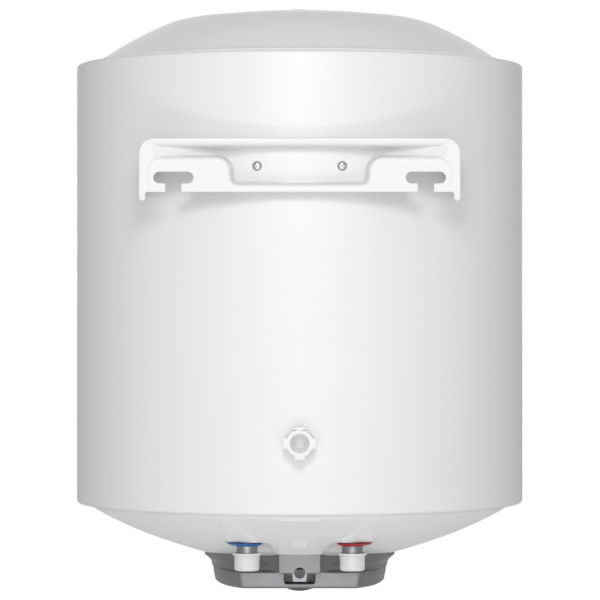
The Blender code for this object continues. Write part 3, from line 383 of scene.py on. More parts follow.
def node_tree(name, inputs):
    tree = bpy.data.node_groups.new(name, "GeometryNodeTree")
    face = tree.interface
    face.new_socket("Geometry", in_out="INPUT", socket_type="NodeSocketGeometry")
    for label, kind in inputs:
        face.new_socket(label, in_out="INPUT", socket_type="NodeSocket" + kind)
    face.new_socket("Geometry", in_out="OUTPUT", socket_type="NodeSocketGeometry")
    return tree, tree.nodes.new("NodeGroupInput"), tree.nodes.new("NodeGroupOutput")


def close_tree(tree, start, end, geometry_socket):
    real = step(tree, "GeometryNodeRealizeInstances", {"Geometry": geometry_socket})
    paint = step(tree, "GeometryNodeSetMaterial", {
        "Geometry": real.outputs[0], "Material": start.outputs["Finish"]})
    tree.links.new(paint.outputs[0], end.inputs[0])


def grow(mesh, tree, values):
    """Runs a tree on a mesh and returns the result as a plain mesh."""
    seed = linked("seed", mesh)
    maker = seed.modifiers.new("maker", "NODES")
    maker.node_group = tree
    ids = {item.name: item.identifier for item in tree.interface.items_tree
           if item.in_out == "INPUT"}
    for label, value in values.items():
        maker[ids[label]] = value
    graph = bpy.context.evaluated_depsgraph_get()
    made = bpy.data.meshes.new_from_object(seed.evaluated_get(graph))
    bpy.data.objects.remove(seed)
    return made


def turning_tree():
    """Turns a profile line, given as a mesh of points in its XZ plane, about the Z axis."""
    tree, start, end = node_tree("turned_shell", (
        ("Rows", "Int"), ("Turns", "Int"), ("Finish", "Material")))
    rows, turns = start.outputs["Rows"], start.outputs["Turns"]
    grid = step(tree, "GeometryNodeMeshGrid", {
        "Size X": 1.0, "Size Y": 1.0, "Vertices X": figure(tree, "ADD", turns, 1.0),
        "Vertices Y": rows})
    index = step(tree, "GeometryNodeInputIndex").outputs[0]
    row = figure(tree, "FLOORED_MODULO", index, rows)
    column = figure(tree, "FLOOR", figure(tree, "DIVIDE", index, rows))
    angle = figure(tree, "MULTIPLY", figure(tree, "DIVIDE", column, turns), 2 * math.pi)
    line = step(tree, "GeometryNodeInputPosition")
    pick = step(tree, "GeometryNodeSampleIndex", {
        "Geometry": start.outputs["Geometry"], "Value": line.outputs[0],
        "Index": row}, data_type="FLOAT_VECTOR", domain="POINT")
    spun = step(tree, "ShaderNodeVectorRotate", {
        "Vector": pick.outputs[0], "Axis": (0.0, 0.0, 1.0), "Angle": angle})
    moved = step(tree, "GeometryNodeSetPosition", {
        "Geometry": grid.outputs["Mesh"], "Position": spun.outputs[0]})
    welded = step(tree, "GeometryNodeMergeByDistance", {
        "Geometry": moved.outputs[0], "Distance": 0.000002})
    close_tree(tree, start, end, welded.outputs[0])
    return tree


def circle_tree():
    """Copies the incoming piece evenly round the Z axis."""
    tree, start, end = node_tree("round_pattern", (
        ("Count", "Int"), ("First Turn", "Float"), ("Finish", "Material")))
    spots = step(tree, "GeometryNodePoints", {"Count": start.outputs["Count"]})
    index = step(tree, "GeometryNodeInputIndex").outputs[0]
    part = figure(tree, "DIVIDE", index, start.outputs["Count"])
    angle = figure(tree, "MULTIPLY_ADD", part, 2 * math.pi, start.outputs["First Turn"])
    turn = step(tree, "ShaderNodeCombineXYZ", {"Z": angle})
    copies = step(tree, "GeometryNodeInstanceOnPoints", {
        "Points": spots.outputs[0], "Instance": start.outputs["Geometry"],
        "Rotation": turn.outputs[0]})
    close_tree(tree, start, end, copies.outputs[0])
    return tree


def thread_tree():
    """A V-shaped ridge wound down the Z axis."""
    tree, start, end = node_tree("wound_thread", (
        ("Radius", "Float"), ("Pitch", "Float"), ("Windings", "Float"), ("Depth", "Float"),
        ("Finish", "Material")))
    length = figure(tree, "MULTIPLY", start.outputs["Pitch"], start.outputs["Windings"])
    spiral = step(tree, "GeometryNodeCurveSpiral", {
        "Resolution": 48, "Rotations": start.outputs["Windings"],
        "Start Radius": start.outputs["Radius"], "End Radius": start.outputs["Radius"],
        "Height": length})
    ridge = step(tree, "GeometryNodeCurvePrimitiveCircle", {
        "Resolution": 4, "Radius": start.outputs["Depth"]})
    swept = step(tree, "GeometryNodeCurveToMesh", {
        "Curve": spiral.outputs[0], "Profile Curve": ridge.outputs[0], "Fill Caps": True})
    close_tree(tree, start, end, swept.outputs[0])
    return tree


def screw_tree():
    """A cross-recess pan head at every incoming point, looking along the point's facing."""
    tree, start, end = node_tree("pan_screws", (
        ("Head Radius", "Float"), ("Head Height", "Float"), ("Recess", "Float"),
        ("Slot", "Float"), ("Finish", "Material")))
    ball = step(tree, "GeometryNodeMeshUVSphere", {
        "Segments": 48, "Rings": 32, "Radius": start.outputs["Head Radius"]})
    flat = figure(tree, "DIVIDE", start.outputs["Head Height"], start.outputs["Head Radius"])
    squash = step(tree, "ShaderNodeCombineXYZ", {"X": 1.0, "Y": 1.0, "Z": flat})
    dome = step(tree, "GeometryNodeTransform", {
        "Geometry": ball.outputs["Mesh"], "Scale": squash.outputs[0]})
    lift = step(tree, "ShaderNodeCombineXYZ", {"Z": start.outputs["Head Height"]})
    arm_size = step(tree, "ShaderNodeCombineXYZ", {
        "X": start.outputs["Recess"], "Y": start.outputs["Slot"],
        "Z": start.outputs["Head Height"]})
    arm = step(tree, "GeometryNodeMeshCube", {"Size": arm_size.outputs[0]})
    arm_up = step(tree, "GeometryNodeTransform", {
        "Geometry": arm.outputs["Mesh"], "Translation": lift.outputs[0]})
    cross = step(tree, "GeometryNodeTransform", {
        "Geometry": arm_up.outputs[0], "Rotation": (0.0, 0.0, math.pi / 2)})
    pit = step(tree, "GeometryNodeMeshCone", {
        "Vertices": 16, "Radius Top": 0.0016, "Radius Bottom": 0.0002, "Depth": 0.003})
    pit_up = step(tree, "GeometryNodeTransform", {
        "Geometry": pit.outputs["Mesh"], "Translation": (0.0, 0.0, 0.0002)})
    head = dome
    for cutter in (arm_up, cross, pit_up):
        head = step(tree, "GeometryNodeMeshBoolean", {0: head.outputs[0], 1: cutter.outputs[0]},
                    operation="DIFFERENCE", solver="MANIFOLD")
    facing = step(tree, "GeometryNodeInputNamedAttribute", {"Name": "facing"},
                  data_type="FLOAT_VECTOR")
    turn = step(tree, "FunctionNodeAlignRotationToVector", {"Vector": facing.outputs[0]},
                axis="Z")
    copies = step(tree, "GeometryNodeInstanceOnPoints", {
        "Points": start.outputs["Geometry"], "Instance": head.outputs[0],
        "Rotation": turn.outputs[0]})
    close_tree(tree, start, end, copies.outputs[0])
    return tree


def turn_mesh(profile, turns, finish, place=(0.0, AXIS_Y, 0.0), closed=True, tilt=None):
    """A closed profile line of (radius, height) turned about a vertical axis at place."""
    line = [(r, 0.0, z) for r, z in profile]
    if closed:
        line.append(line[0])
    mesh = bpy.data.meshes.new("line")
    mesh.from_pydata(line, [(i, i + 1) for i in range(len(line) - 1)], [])
    made = grow(mesh, TREES["turning"], {
        "Rows": len(line), "Turns": turns, "Finish": FINISH[finish]})
    if tilt:
        made.transform(tilt)
    made.transform(Matrix.Translation(place))
    return made


def joined(meshes):
    shape = bmesh.new()
    for mesh in meshes:
        shape.from_mesh(mesh)
    made = bpy.data.meshes.new("joined")
    shape.to_mesh(made)
    shape.free()
    return made


# Casing

def make_jacket():
    sheet = 0.0008
    mouth, outer, edge = 0.2062, JACKET_R, 0.0035
    inner = outer - sheet
    profile = rounded([
        (mouth, JACKET_TOP, 0.0004), (outer, JACKET_TOP, edge), (outer, JACKET_BOTTOM, edge),
        (mouth, JACKET_BOTTOM, 0.0004), (mouth, JACKET_BOTTOM + sheet, 0.0003),
        (inner, JACKET_BOTTOM + sheet, edge - sheet), (inner, JACKET_TOP - sheet, edge - sheet),
        (mouth, JACKET_TOP - sheet, 0.0003),
    ], 8)
    mesh = turn_mesh(profile, 288, "jacket_enamel")
    finish_piece("jacket_shell", mesh, "jacket_enamel", "heater", ("jacket",), 50)


TOP_LINE = [
    (0.0098, 0.1815), (0.030, 0.1812), (0.055, 0.1799), (0.080, 0.1776), (0.095, 0.1758),
    (0.105, 0.1746), (0.113, 0.1738), (0.120, 0.1725), (0.130, 0.1695), (0.140, 0.1653),
    (0.150, 0.1606), (0.160, 0.1555), (0.170, 0.1500), (0.180, 0.1440), (0.190, 0.1377),
    (0.196, 0.1340), (0.1995, 0.1325),
]
BOTTOM_LINE = [
    (0.062, -0.3573), (0.080, -0.3538), (0.090, -0.3514), (0.100, -0.3487), (0.110, -0.3458),
    (0.120, -0.3426), (0.130, -0.3393), (0.140, -0.3358), (0.150, -0.3321), (0.160, -0.3281),
    (0.170, -0.3238), (0.180, -0.3191), (0.190, -0.3141), (0.200, -0.3086), (0.2036, -0.3063),
]


def make_top_cover():
    wall = 0.0022
    outside = curve_through(TOP_LINE, 4)
    skirt = rounded([(0.1995, 0.1325, 0), (0.2036, 0.1318, 0.0010), (0.2045, 0.1290, 0.0004),
                     (0.2045, 0.1209, 0)], 5, False)[1:]
    under = [(r - 0.0008, z - wall) for r, z in outside[::-1]]
    inside = [(0.2023, 0.1209), (0.2023, 0.1290)] + under[:-1] + [(0.0098, outside[0][1] - wall)]
    mesh = turn_mesh(outside + skirt + inside, 256, "lid_plastic")
    finish_piece("top_lid", mesh, "lid_plastic", "heater", ("top_cover",), 50)
    plug = rounded([(0.0, 0.1850, 0), (0.0085, 0.1848, 0.0012), (0.0096, 0.1815, 0.0002),
                    (0.0094, 0.1783, 0.0004), (0.0, 0.1783, 0)], 5, False)
    mesh = turn_mesh(plug, 64, "lid_plastic", closed=False)
    finish_piece("filling_plug", mesh, "lid_plastic", "heater", ("foam_plug",), 40)


def smooth_max(a, b, width):
    share = np.clip(0.5 + 0.5 * (a - b) / width, 0.0, 1.0)
    return b * (1 - share) + a * share + width * share * (1 - share)


def smooth_min(a, b, width):
    return -smooth_max(-a, -b, width)


def under_face(x, y):
    """Height of the bottom cover's outer face, with its port seats and raised rear panel."""
    line = curve_through(BOTTOM_LINE, 4)
    radius = np.hypot(x, y - AXIS_Y)
    dish = np.interp(radius, [r for r, z in line], [z for r, z in line])
    soft = 0.0012
    panel = -0.3308 - (0.154 - radius) * 0.4594
    panel_half = 0.018 + np.clip((0.154 - radius) / 0.032, 0, 1) * 0.0026
    panel = np.maximum(panel, -0.3460) + np.clip(np.abs(x) - panel_half, 0, None) * 0.9
    tab = -0.3277 - (0.161 - radius) * 0.62 + np.clip(np.abs(x) - 0.0066, 0, None) * 1.2
    tab = np.where(radius > 0.146, tab, 0.0)
    face = smooth_min(dish, panel, soft * 0.5)
    face = smooth_min(face, tab, soft * 0.5)
    for side in (-1, 1):
        cx, cy = side * PORT_X, PORT_Y
        dx, dy = x - cx, y - cy
        reach = math.hypot(cx, cy - AXIS_Y)
        out_x, out_y = cx / reach, (cy - AXIS_Y) / reach
        along = dx * out_x + dy * out_y
        across = np.abs(dx * out_y - dy * out_x)
        gap = np.hypot(dx, dy)
        apron = SEAT_Z + 0.0008 + 0.52 * np.clip(along - 0.0135, 0, None)
        apron = apron + 0.8 * np.clip(across - 0.0130 + 0.2 * np.clip(along - 0.0135, 0, None),
                                      0, None)
        apron = np.where(along > -0.004, apron, 0.0)
        bowl = SEAT_Z - 1.5 * np.clip(gap - 0.0205, 0, None)
        face = smooth_min(face, apron, soft * 2.5)
        face = smooth_max(face, bowl, soft)
    return face


def make_bottom_cover():
    """A polar sheet, closely spaced where the port seats are, with its wall above it."""
    dense = math.radians(38)
    angles = list(np.linspace(math.pi / 2 - dense, math.pi / 2 + dense, 281))
    angles += list(np.linspace(math.pi / 2 + dense, 2.5 * math.pi - dense, 130))[1:-1]
    radii = list(np.linspace(0.062, 0.098, 18)) + list(np.linspace(0.0985, 0.178, 130))
    radii += list(np.linspace(0.181, 0.2036, 14))
    angle, radius = np.meshgrid(angles, radii)
    x = radius * np.cos(angle)
    y = AXIS_Y + radius * np.sin(angle)
    z = under_face(x, y)
    rows = [np.stack([x, y, z], -1)]
    lip = rounded([(0.2036, -0.3063, 0), (0.2045, -0.3056, 0.0004), (0.2045, -0.2942, 0),
                   (0.2023, -0.2942, 0), (0.2023, -0.3050, 0)], 4, False)[1:]
    a = np.array(angles)
    for r, height in lip:
        rows.append(np.stack([r * np.cos(a), AXIS_Y + r * np.sin(a),
                              np.full_like(a, height)], -1)[None])
    rows.append(np.stack([x, y, z + 0.0023], -1)[::-1][2:])
    rows.append(rows[0][:1])
    grid = np.concatenate(rows)
    count = len(angles)
    faces = sheet_faces(len(grid), count, True)
    mesh = bpy.data.meshes.new("bottom_lid")
    mesh.from_pydata([tuple(p) for p in grid.reshape(-1, 3)], [], faces)
    finish_piece("bottom_lid", mesh, "lid_plastic", "heater", ("bottom_cover",),
                 45)


# Hanging bracket

HALF = 0.14765
PLATE_TOP = 0.0460
PLATE_FOOT = -0.0035
LEG_END = -0.0115
LIP_FOOT = 0.0386
RAMP_END = 0.137
RECESS_HALF = 0.0635
SLOT_X = 0.11595


def pad_line():
    """The edge between the flat pads and the pressed channel, from the end to the middle."""
    return rounded([
        (0.1433, 0.0335, 0), (0.1433, -0.0005, 0.0027), (0.1378, -0.0005, 0.0027),
        (0.1377, 0.0258, 0.0100), (0.0668, 0.0258, 0.0098), (0.0660, 0.0008, 0.0098),
        (0.0, 0.0008, 0),
    ], 14, False)


def distance_to_line(px, pz, line):
    """Distance of points to a polyline, positive on its left-hand, channel side."""
    best = np.full(px.shape, 9.0)
    sign = np.ones(px.shape)
    for (x0, z0), (x1, z1) in zip(line, line[1:]):
        vx, vz = x1 - x0, z1 - z0
        t = np.clip(((px - x0) * vx + (pz - z0) * vz) / (vx * vx + vz * vz), 0, 1)
        gap = np.hypot(px - x0 - t * vx, pz - z0 - t * vz)
        side = np.sign(vz * (px - x0) - vx * (pz - z0))
        nearer = gap < best - 1e-9
        sign = np.where(nearer, side, sign)
        best = np.minimum(best, gap)
    return best * sign


def channel_floor(px):
    ax = np.abs(px)
    curved = -AXIS_Y - np.sqrt(RECESS_R ** 2 - np.minimum(ax, RECESS_HALF) ** 2)
    ramp = np.clip((RAMP_END - ax) / (RAMP_END - RECESS_HALF), 0, 1)
    return np.where(ax <= RECESS_HALF, curved, curved * ramp)


def plate_depth(px, pz, line):
    """How far the plate's face lies behind the wall face, point by point."""
    inside = distance_to_line(px, pz, line)
    floor = np.maximum(channel_floor(px), 0.0005)
    soft = 0.0032
    wall = np.clip(inside, 0, None)
    wall = np.where(wall < soft * 0.97,
                    soft - np.sqrt(np.clip(soft ** 2 - np.minimum(wall, soft) ** 2, 0, None)),
                    soft * 0.757 + (wall - soft * 0.97) * 9.0)
    radius = 0.0048
    rise = np.clip(LIP_FOOT + radius - pz, 0, None)
    lip = np.where(rise < radius * 0.985,
                   radius - np.sqrt(np.clip(radius ** 2 - np.minimum(rise, radius) ** 2, 0, None)),
                   radius * 0.83 + (rise - radius * 0.985) * 14.0)
    return smooth_min(smooth_min(wall, lip, 0.0012), floor, 0.0012) * (inside > 0) * (rise > 0)


def plate_outline():
    """Half of the plate's outline, from the top's middle round the end to the foot's middle."""
    neck, reach = 0.00725, 0.0182
    low, high = 0.00455, 0.01515
    corners = [
        (0.0, PLATE_TOP, 0), (HALF, PLATE_TOP, 0.0142), (HALF, LEG_END, 0.00299),
        (HALF - 0.006, LEG_END, 0.00299), (HALF - 0.006, PLATE_FOOT, 0.002),
        (SLOT_X + neck, PLATE_FOOT, 0.0005), (SLOT_X + neck, low, 0.0006),
        (SLOT_X + reach, low, 0.00529), (SLOT_X + reach, high, 0.00529),
        (SLOT_X - reach, high, 0.00529), (SLOT_X - reach, low, 0.00529),
        (SLOT_X - neck, low, 0.0006), (SLOT_X - neck, PLATE_FOOT, 0.0005), (0.0, PLATE_FOOT, 0),
    ]
    return rounded(corners, 8, False)


def inset_line(line, distance):
    pts = np.array(line)
    ahead = np.vstack([pts[1:], pts[-1:] * 2 - pts[-2:-1]]) - pts
    behind = pts - np.vstack([pts[:1] * 2 - pts[1:2], pts[:-1]])
    ahead /= np.linalg.norm(ahead, axis=1)[:, None]
    behind /= np.linalg.norm(behind, axis=1)[:, None]
    along = ahead + behind
    along /= np.linalg.norm(along, axis=1)[:, None]
    moved = pts + np.stack([along[:, 1], -along[:, 0]], 1) * distance
    moved[0, 0] = moved[-1, 0] = 0.0
    return moved


def inside_loop(px, pz, loop):
    crossings = np.zeros(px.shape, int)
    for (x0, z0), (x1, z1) in zip(loop, np.roll(loop, -1, axis=0)):
        crossings += ((z0 > pz) != (z1 > pz)) & (
            px < (x1 - x0) * (pz - z0) / (z1 - z0 + 1e-12) + x0)
    return crossings % 2 == 1


def make_bracket():
    outline = plate_outline()
    line = pad_line()
    edge = 0.0007
    loops = [np.array(outline)] + [inset_line(outline, edge * s) for s in (0.3, 1.0)]
    points, edges = [], []
    for loop in loops:
        base = len(points)
        points += [Vector(p) for p in loop]
        edges += [(base + i, base + i + 1) for i in range(len(loop) - 1)]
    closing = [(0, len(outline) - 1)]
    xs = np.concatenate([np.arange(0.0, 0.052, 0.0016), np.arange(0.052, 0.074, 0.0005),
                         np.arange(0.074, 0.145, 0.0012)])
    zs = np.concatenate([np.arange(-0.0028, 0.0375, 0.0012), np.arange(0.0376, 0.0455, 0.0004)])
    gx, gz = [v.ravel() for v in np.meshgrid(xs, zs)]
    loop = np.array(outline)
    far = np.abs(distance_to_line(gx, gz, [tuple(p) for p in loop])) > 0.0010
    off_wall = np.abs(distance_to_line(gx, gz, line)) > 0.0002
    keep = far & inside_loop(gx, gz, loop) & off_wall
    points += [Vector(p) for p in np.stack([gx, gz], 1)[keep]]
    for shift in (0.0, 0.0008, 0.0016, 0.0023, 0.0028, 0.0031, 0.0033, 0.0036, 0.0042, 0.0052):
        moved = inset_line(line, -shift)
        px, pz = moved[:, 0], moved[:, 1]
        clear = (inside_loop(px, pz, loop) & (px > 0.0006)
                 & (np.abs(distance_to_line(px, pz, [tuple(p) for p in loop])) > 0.0010)
                 & (np.abs(distance_to_line(px, pz, line)) > shift - 0.00005))
        points += [Vector(p) for p in moved[clear]]
    flat, _, tris, _, _, _ = geometry.delaunay_2d_cdt(
        points, edges + closing, [list(range(len(outline)))], 1, 0.00001)
    flat = np.array([tuple(p) for p in flat])
    depth = np.maximum(plate_depth(flat[:, 0], flat[:, 1], line), 0.0)
    border = np.abs(distance_to_line(flat[:, 0], flat[:, 1], outline))
    rim = np.clip(1 - border / edge, 0, 1)
    rim = edge * (1 - np.sqrt(np.clip(1 - rim ** 2, 0, 1)))
    front = np.stack([flat[:, 0], -depth - rim, flat[:, 1]], 1)
    back = np.stack([flat[:, 0], -depth - 0.0020, flat[:, 1]], 1)
    count = len(flat)
    faces = [tuple(t) for t in tris] + [tuple(i + count for i in t[::-1]) for t in tris]
    used = {}
    for t in tris:
        for i in range(len(t)):
            pair = (t[i], t[(i + 1) % len(t)])
            used[tuple(sorted(pair))] = used.get(tuple(sorted(pair)), 0) + 1
    for (a, b), times in used.items():
        middle = (flat[a][0] + flat[b][0]) / 2
        if times == 1 and middle > 1e-6:
            faces.append((a, b, b + count, a + count))
    half = np.concatenate([front, back])
    mirrored = half * np.array([-1.0, 1.0, 1.0])
    total = len(half)
    faces += [tuple(i + total for i in f[::-1]) for f in faces]
    mesh = bpy.data.meshes.new("plate")
    mesh.from_pydata(np.concatenate([half, mirrored]).tolist(), [], faces)
    ribbon = make_bracket_ribbon()
    finish_piece("hanging_bracket", joined([mesh, ribbon]), "bracket_enamel", "heater",
                 ("wall_bracket",), 40)


def make_bracket_ribbon():
    """The flange turned towards the jacket along the plate's top and both ends."""
    outer = rounded([(HALF - 0.00003, PLATE_FOOT, 0), (HALF - 0.00003, PLATE_TOP - 0.00003, 0.0142),
                     (-HALF + 0.00003, PLATE_TOP - 0.00003, 0.0142),
                     (-HALF + 0.00003, PLATE_FOOT, 0)], 14, False)
    line = []
    for a, b in zip(outer, outer[1:]):
        pieces = max(1, int(math.dist(a, b) / 0.003))
        line += [tuple(np.array(a) + (np.array(b) - np.array(a)) * i / pieces)
                 for i in range(pieces)]
    line.append(outer[-1])
    inner = inset_line_full(line, 0.00197)
    line = np.array(line)

    def rear(p):
        return AXIS_Y + np.sqrt((JACKET_R + 0.0012) ** 2 - p[:, 0] ** 2)

    edge = 0.0006
    third = (line + inner) / 2
    rows = [
        np.stack([line[:, 0], np.full(len(line), -0.0009), line[:, 1]], 1),
        np.stack([line[:, 0], rear(line) + edge, line[:, 1]], 1),
        np.stack([third[:, 0], rear(third), third[:, 1]], 1),
        np.stack([inner[:, 0], rear(inner) + edge, inner[:, 1]], 1),
        np.stack([inner[:, 0], np.full(len(line), -0.0009), inner[:, 1]], 1),
    ]
    grid = np.concatenate([row[None] for row in rows + rows[:1]])
    faces = sheet_faces(len(grid), len(line))
    count = len(line)
    faces.append(tuple(r * count for r in range(5)))
    faces.append(tuple(r * count + count - 1 for r in range(5))[::-1])
    mesh = bpy.data.meshes.new("ribbon")
    mesh.from_pydata(grid.reshape(-1, 3).tolist(), [], faces)
    return mesh


def inset_line_full(line, distance):
    pts = np.array(line)
    along = np.gradient(pts, axis=0)
    along /= np.linalg.norm(along, axis=1)[:, None]
    normal = np.stack([-along[:, 1], along[:, 0]], 1)
    moved = pts + normal * distance
    if np.abs(moved[:, 0]).max() > np.abs(pts[:, 0]).max():
        moved = pts - normal * distance
    return moved


def screw_spots(spots):
    """Loose points, each with the direction its screw faces."""
    mesh = bpy.data.meshes.new("spots")
    mesh.from_pydata([place for place, _ in spots], [], [])
    facing = mesh.attributes.new("facing", "FLOAT_VECTOR", "POINT")
    facing.data.foreach_set("vector", [value for _, normal in spots for value in normal])
    return mesh


# Fittings

def make_spacer():
    """Tubular stand-off: four lugs round its mouth, its spigot through the jacket."""
    base = -0.0196
    profile = [(0.0, -0.0226)] + rounded([
        (0.0048, -0.0226, 0), (0.0052, -0.0150, 0.001), (0.0091, 0.0, 0.0003),
        (0.0125, 0.0, 0.0003), (0.0133, base, 0.0003), (0.0062, base, 0.0003),
        (0.0062, -0.0236, 0.0003), (0.0, -0.0236, 0)], 5, False)
    barrel = turn_mesh(profile, 96, "spacer_plastic", CENTRE, closed=False)
    barrel.transform(TO_WALL)
    lug = rounded_slab("lug", [
        (0.0108, -0.0048, 0.0), (0.0150, -0.0048, 0.0013), (0.0150, 0.0048, 0.0013),
        (0.0108, 0.0048, 0.0)], -0.0004, -0.0165, 0.0002)
    around = Matrix.Rotation(math.radians(90), 4, "X")
    lug.data.transform(around)
    lugs = grow(lug.data, TREES["circle"], {
        "Count": 4, "First Turn": 0.0, "Finish": FINISH["spacer_plastic"]})
    bpy.data.objects.remove(lug)
    lugs.transform(TO_WALL)
    whole = linked("stand_off_blank", barrel)
    combine(whole, linked("stand_off_lugs", lugs), "UNION")
    mesh = whole.data
    bpy.data.objects.remove(whole)
    mesh.transform(Matrix.Translation((0.0, 0.0, SPACER_Z)))
    finish_piece("stand_off", mesh, "spacer_plastic", "heater",
                 ("wall_spacer",), 35)


def make_connections():
    for side, word, colour in ((1, "cold", "blue_plastic"), (-1, "hot", "red_plastic")):
        x = side * PORT_X
        place = (x, PORT_Y, 0.0)
        profile = rounded([
            (0.00985, -0.2975, 0), (0.00985, -0.3432, 0.0003), (0.00935, -0.3440, 0.0003),
            (0.00935, -0.3581, 0.0006), (0.0075, -0.3581, 0.0005), (0.0075, -0.2975, 0),
        ], 4)
        tube = turn_mesh(profile, 72, "turned_zinc", place)
        thread = grow(bpy.data.meshes.new("none"), TREES["thread"], {
            "Radius": 0.0096, "Pitch": 0.001814, "Windings": 6.6, "Depth": 0.00085,
            "Finish": FINISH["turned_zinc"]})
        thread.transform(Matrix.Translation((x, PORT_Y, -0.3570)))
        finish_piece(f"{word}_threaded_nipple", joined([tube, thread]), "turned_zinc", "heater",
                     (f"{word}_nipple",), 35)
        top = SEAT_Z - 0.0002
        ring = rounded([
            (0.0103, top, 0), (0.0160, top, 0.0010), (0.0170, top - 0.0006, 0.0003),
            (0.0150, top - 0.0018, 0.0020), (0.0103, top - 0.0031, 0),
        ], 4)
        lean = Matrix.Translation((0, 0, SEAT_Z)) @ Matrix.Rotation(
            math.radians(-1.4 * side), 4, "Y") @ Matrix.Translation((0, 0, -SEAT_Z))
        mesh = turn_mesh(ring, 96, colour, place, tilt=lean)
        for point in mesh.vertices:
            gap = math.hypot(point.co.x - x, point.co.y - PORT_Y)
            point.co.x += side * 0.0019 * min(1.0, max(0.0, (gap - 0.0108) / 0.003))
        finish_piece(f"{word}_marker", mesh, colour, "heater", (f"{word}_ring",), 35)
        top, low = -0.3425, -0.3594
        cap = rounded([
            (0.0109, top, 0.0003), (0.0136, top, 0.0005), (0.0138, top - 0.0019, 0.0004),
            (0.0121, top - 0.0022, 0.0004), (0.0118, low, 0.0022), (0.0, low, 0),
            (0.0, low + 0.0014, 0), (0.0105, low + 0.0014, 0.0006),
        ], 6)
        mesh = turn_mesh(order_profile(cap + [cap[0]]), 96, "cap_polythene", place, closed=False)
        finish_piece(f"{word}_transport_cap", mesh, "cap_polythene", f"{word}_cap_body",
                     (f"{word}_cap",), 35)


def order_profile(loop):
    """Starts a closed loop at its first point on the axis, so no edge runs along the axis."""
    pts = loop[:-1]
    on_axis = [i for i, p in enumerate(pts) if p[0] < 1e-9]
    first = on_axis[1] if len(on_axis) > 1 else on_axis[0]
    return pts[first:] + pts[:first]


# Control cover

# Half plan outlines (across, towards the wall) of the control cover, from its rim down

BACK_FLAT = [(0.0, 0.107), (0.012, 0.107)]
RIM_PLAN = BACK_FLAT + [
    (0.0200, 0.1065), (0.0235, 0.1028), (0.0270, 0.1000), (0.0318, 0.0970), (0.0395, 0.0925),
    (0.0460, 0.0895), (0.0525, 0.0865), (0.0600, 0.0828), (0.0660, 0.0795), (0.0773, 0.068),
    (0.0875, 0.045), (0.0930, 0.018), (0.0940, 0.0),
]
WAIST_PLAN = BACK_FLAT + [
    (0.0200, 0.1068), (0.0228, 0.1045), (0.0258, 0.1022), (0.0300, 0.1000), (0.0380, 0.0985),
    (0.0450, 0.0975), (0.0525, 0.0955), (0.0595, 0.0918), (0.0645, 0.0868), (0.0725, 0.074),
    (0.0808, 0.050), (0.0860, 0.020), (0.0870, 0.0),
]
LEDGE_PLAN = BACK_FLAT + [
    (0.0200, 0.1069), (0.0225, 0.1058), (0.0252, 0.1048), (0.0295, 0.1044), (0.0380, 0.1044),
    (0.0460, 0.1044), (0.0535, 0.1044), (0.0598, 0.1010), (0.0655, 0.0935), (0.0728, 0.080),
    (0.0805, 0.055), (0.0855, 0.022), (0.0864, 0.0),
]
BELT_PLAN = BACK_FLAT + [
    (0.0200, 0.107), (0.0225, 0.107), (0.0252, 0.107), (0.0295, 0.107), (0.0380, 0.107),
    (0.0470, 0.107), (0.0558, 0.107), (0.0597, 0.1046), (0.0655, 0.0953), (0.0727, 0.0813),
    (0.0800, 0.055), (0.0847, 0.022), (0.0856, 0.0),
]
FLOOR_PLAN = BACK_FLAT + [
    (0.0200, 0.107), (0.0225, 0.107), (0.0252, 0.107), (0.0295, 0.107), (0.0370, 0.107),
    (0.0450, 0.107), (0.0535, 0.107), (0.0573, 0.1046), (0.0631, 0.0953), (0.0700, 0.0813),
    (0.0772, 0.055), (0.0819, 0.022), (0.0828, 0.0),
]
FLOOR_Z = -0.3788
LEDGE_Z = -0.3633


def ring_points(half, inset=0.0):
    """A closed plan section from its rear half outline, with a half ellipse in front."""
    rear = curve_through(half, 4)
    side = half[-1][0]
    front = [(side * math.cos(a), -0.1015 * side / 0.0835 * 0.9064 * math.sin(a))
             for a in np.linspace(0, math.pi / 2, 33)[1:]]
    right = np.array(rear + front)
    left = right[-2:0:-1] * np.array([-1.0, 1.0])
    ring = np.concatenate([right, left])
    along = np.roll(ring, -1, axis=0) - np.roll(ring, 1, axis=0)
    along /= np.linalg.norm(along, axis=1)[:, None]
    inward = np.stack([along[:, 1], -along[:, 0]], 1)
    return ring + inward * inset


def blend(a, b, t):
    return [(p[0] + (q[0] - p[0]) * t, p[1] + (q[1] - p[1]) * t) for p, q in zip(a, b)]


def cover_levels():
    """(section, height, inset) from the rim down to the floor."""
    levels = [(RIM_PLAN, -0.3380, 0.0), (RIM_PLAN, -0.3530, 0.0)]
    for t in np.linspace(0.15, 1, 7):
        bend = math.sin(t * math.pi / 2)
        levels.append((blend(RIM_PLAN, WAIST_PLAN, bend), -0.3530 - 0.0082 * t,
                       0.0))
    for t in np.linspace(0.25, 1, 4):
        levels.append((blend(WAIST_PLAN, LEDGE_PLAN, t * t), -0.3612 + (LEDGE_Z + 0.3612) * t, 0.0))
    levels.append((blend(LEDGE_PLAN, BELT_PLAN, 0.85), LEDGE_Z - 0.0003, 0.0))
    levels.append((BELT_PLAN, LEDGE_Z - 0.0009, 0.0))
    for t in np.linspace(0.15, 0.75, 5):
        levels.append((blend(BELT_PLAN, FLOOR_PLAN, t ** 1.5), LEDGE_Z - 0.0009 - 0.0146 * t, 0.0))
    edge = 0.0022
    for a in np.linspace(0, math.pi / 2, 8)[1:]:
        levels.append((blend(BELT_PLAN, FLOOR_PLAN, 0.65 + 0.35 * min(1, a)),
                       FLOOR_Z + edge * (1 - math.sin(a)), edge * (1 - math.cos(a))))
    return levels


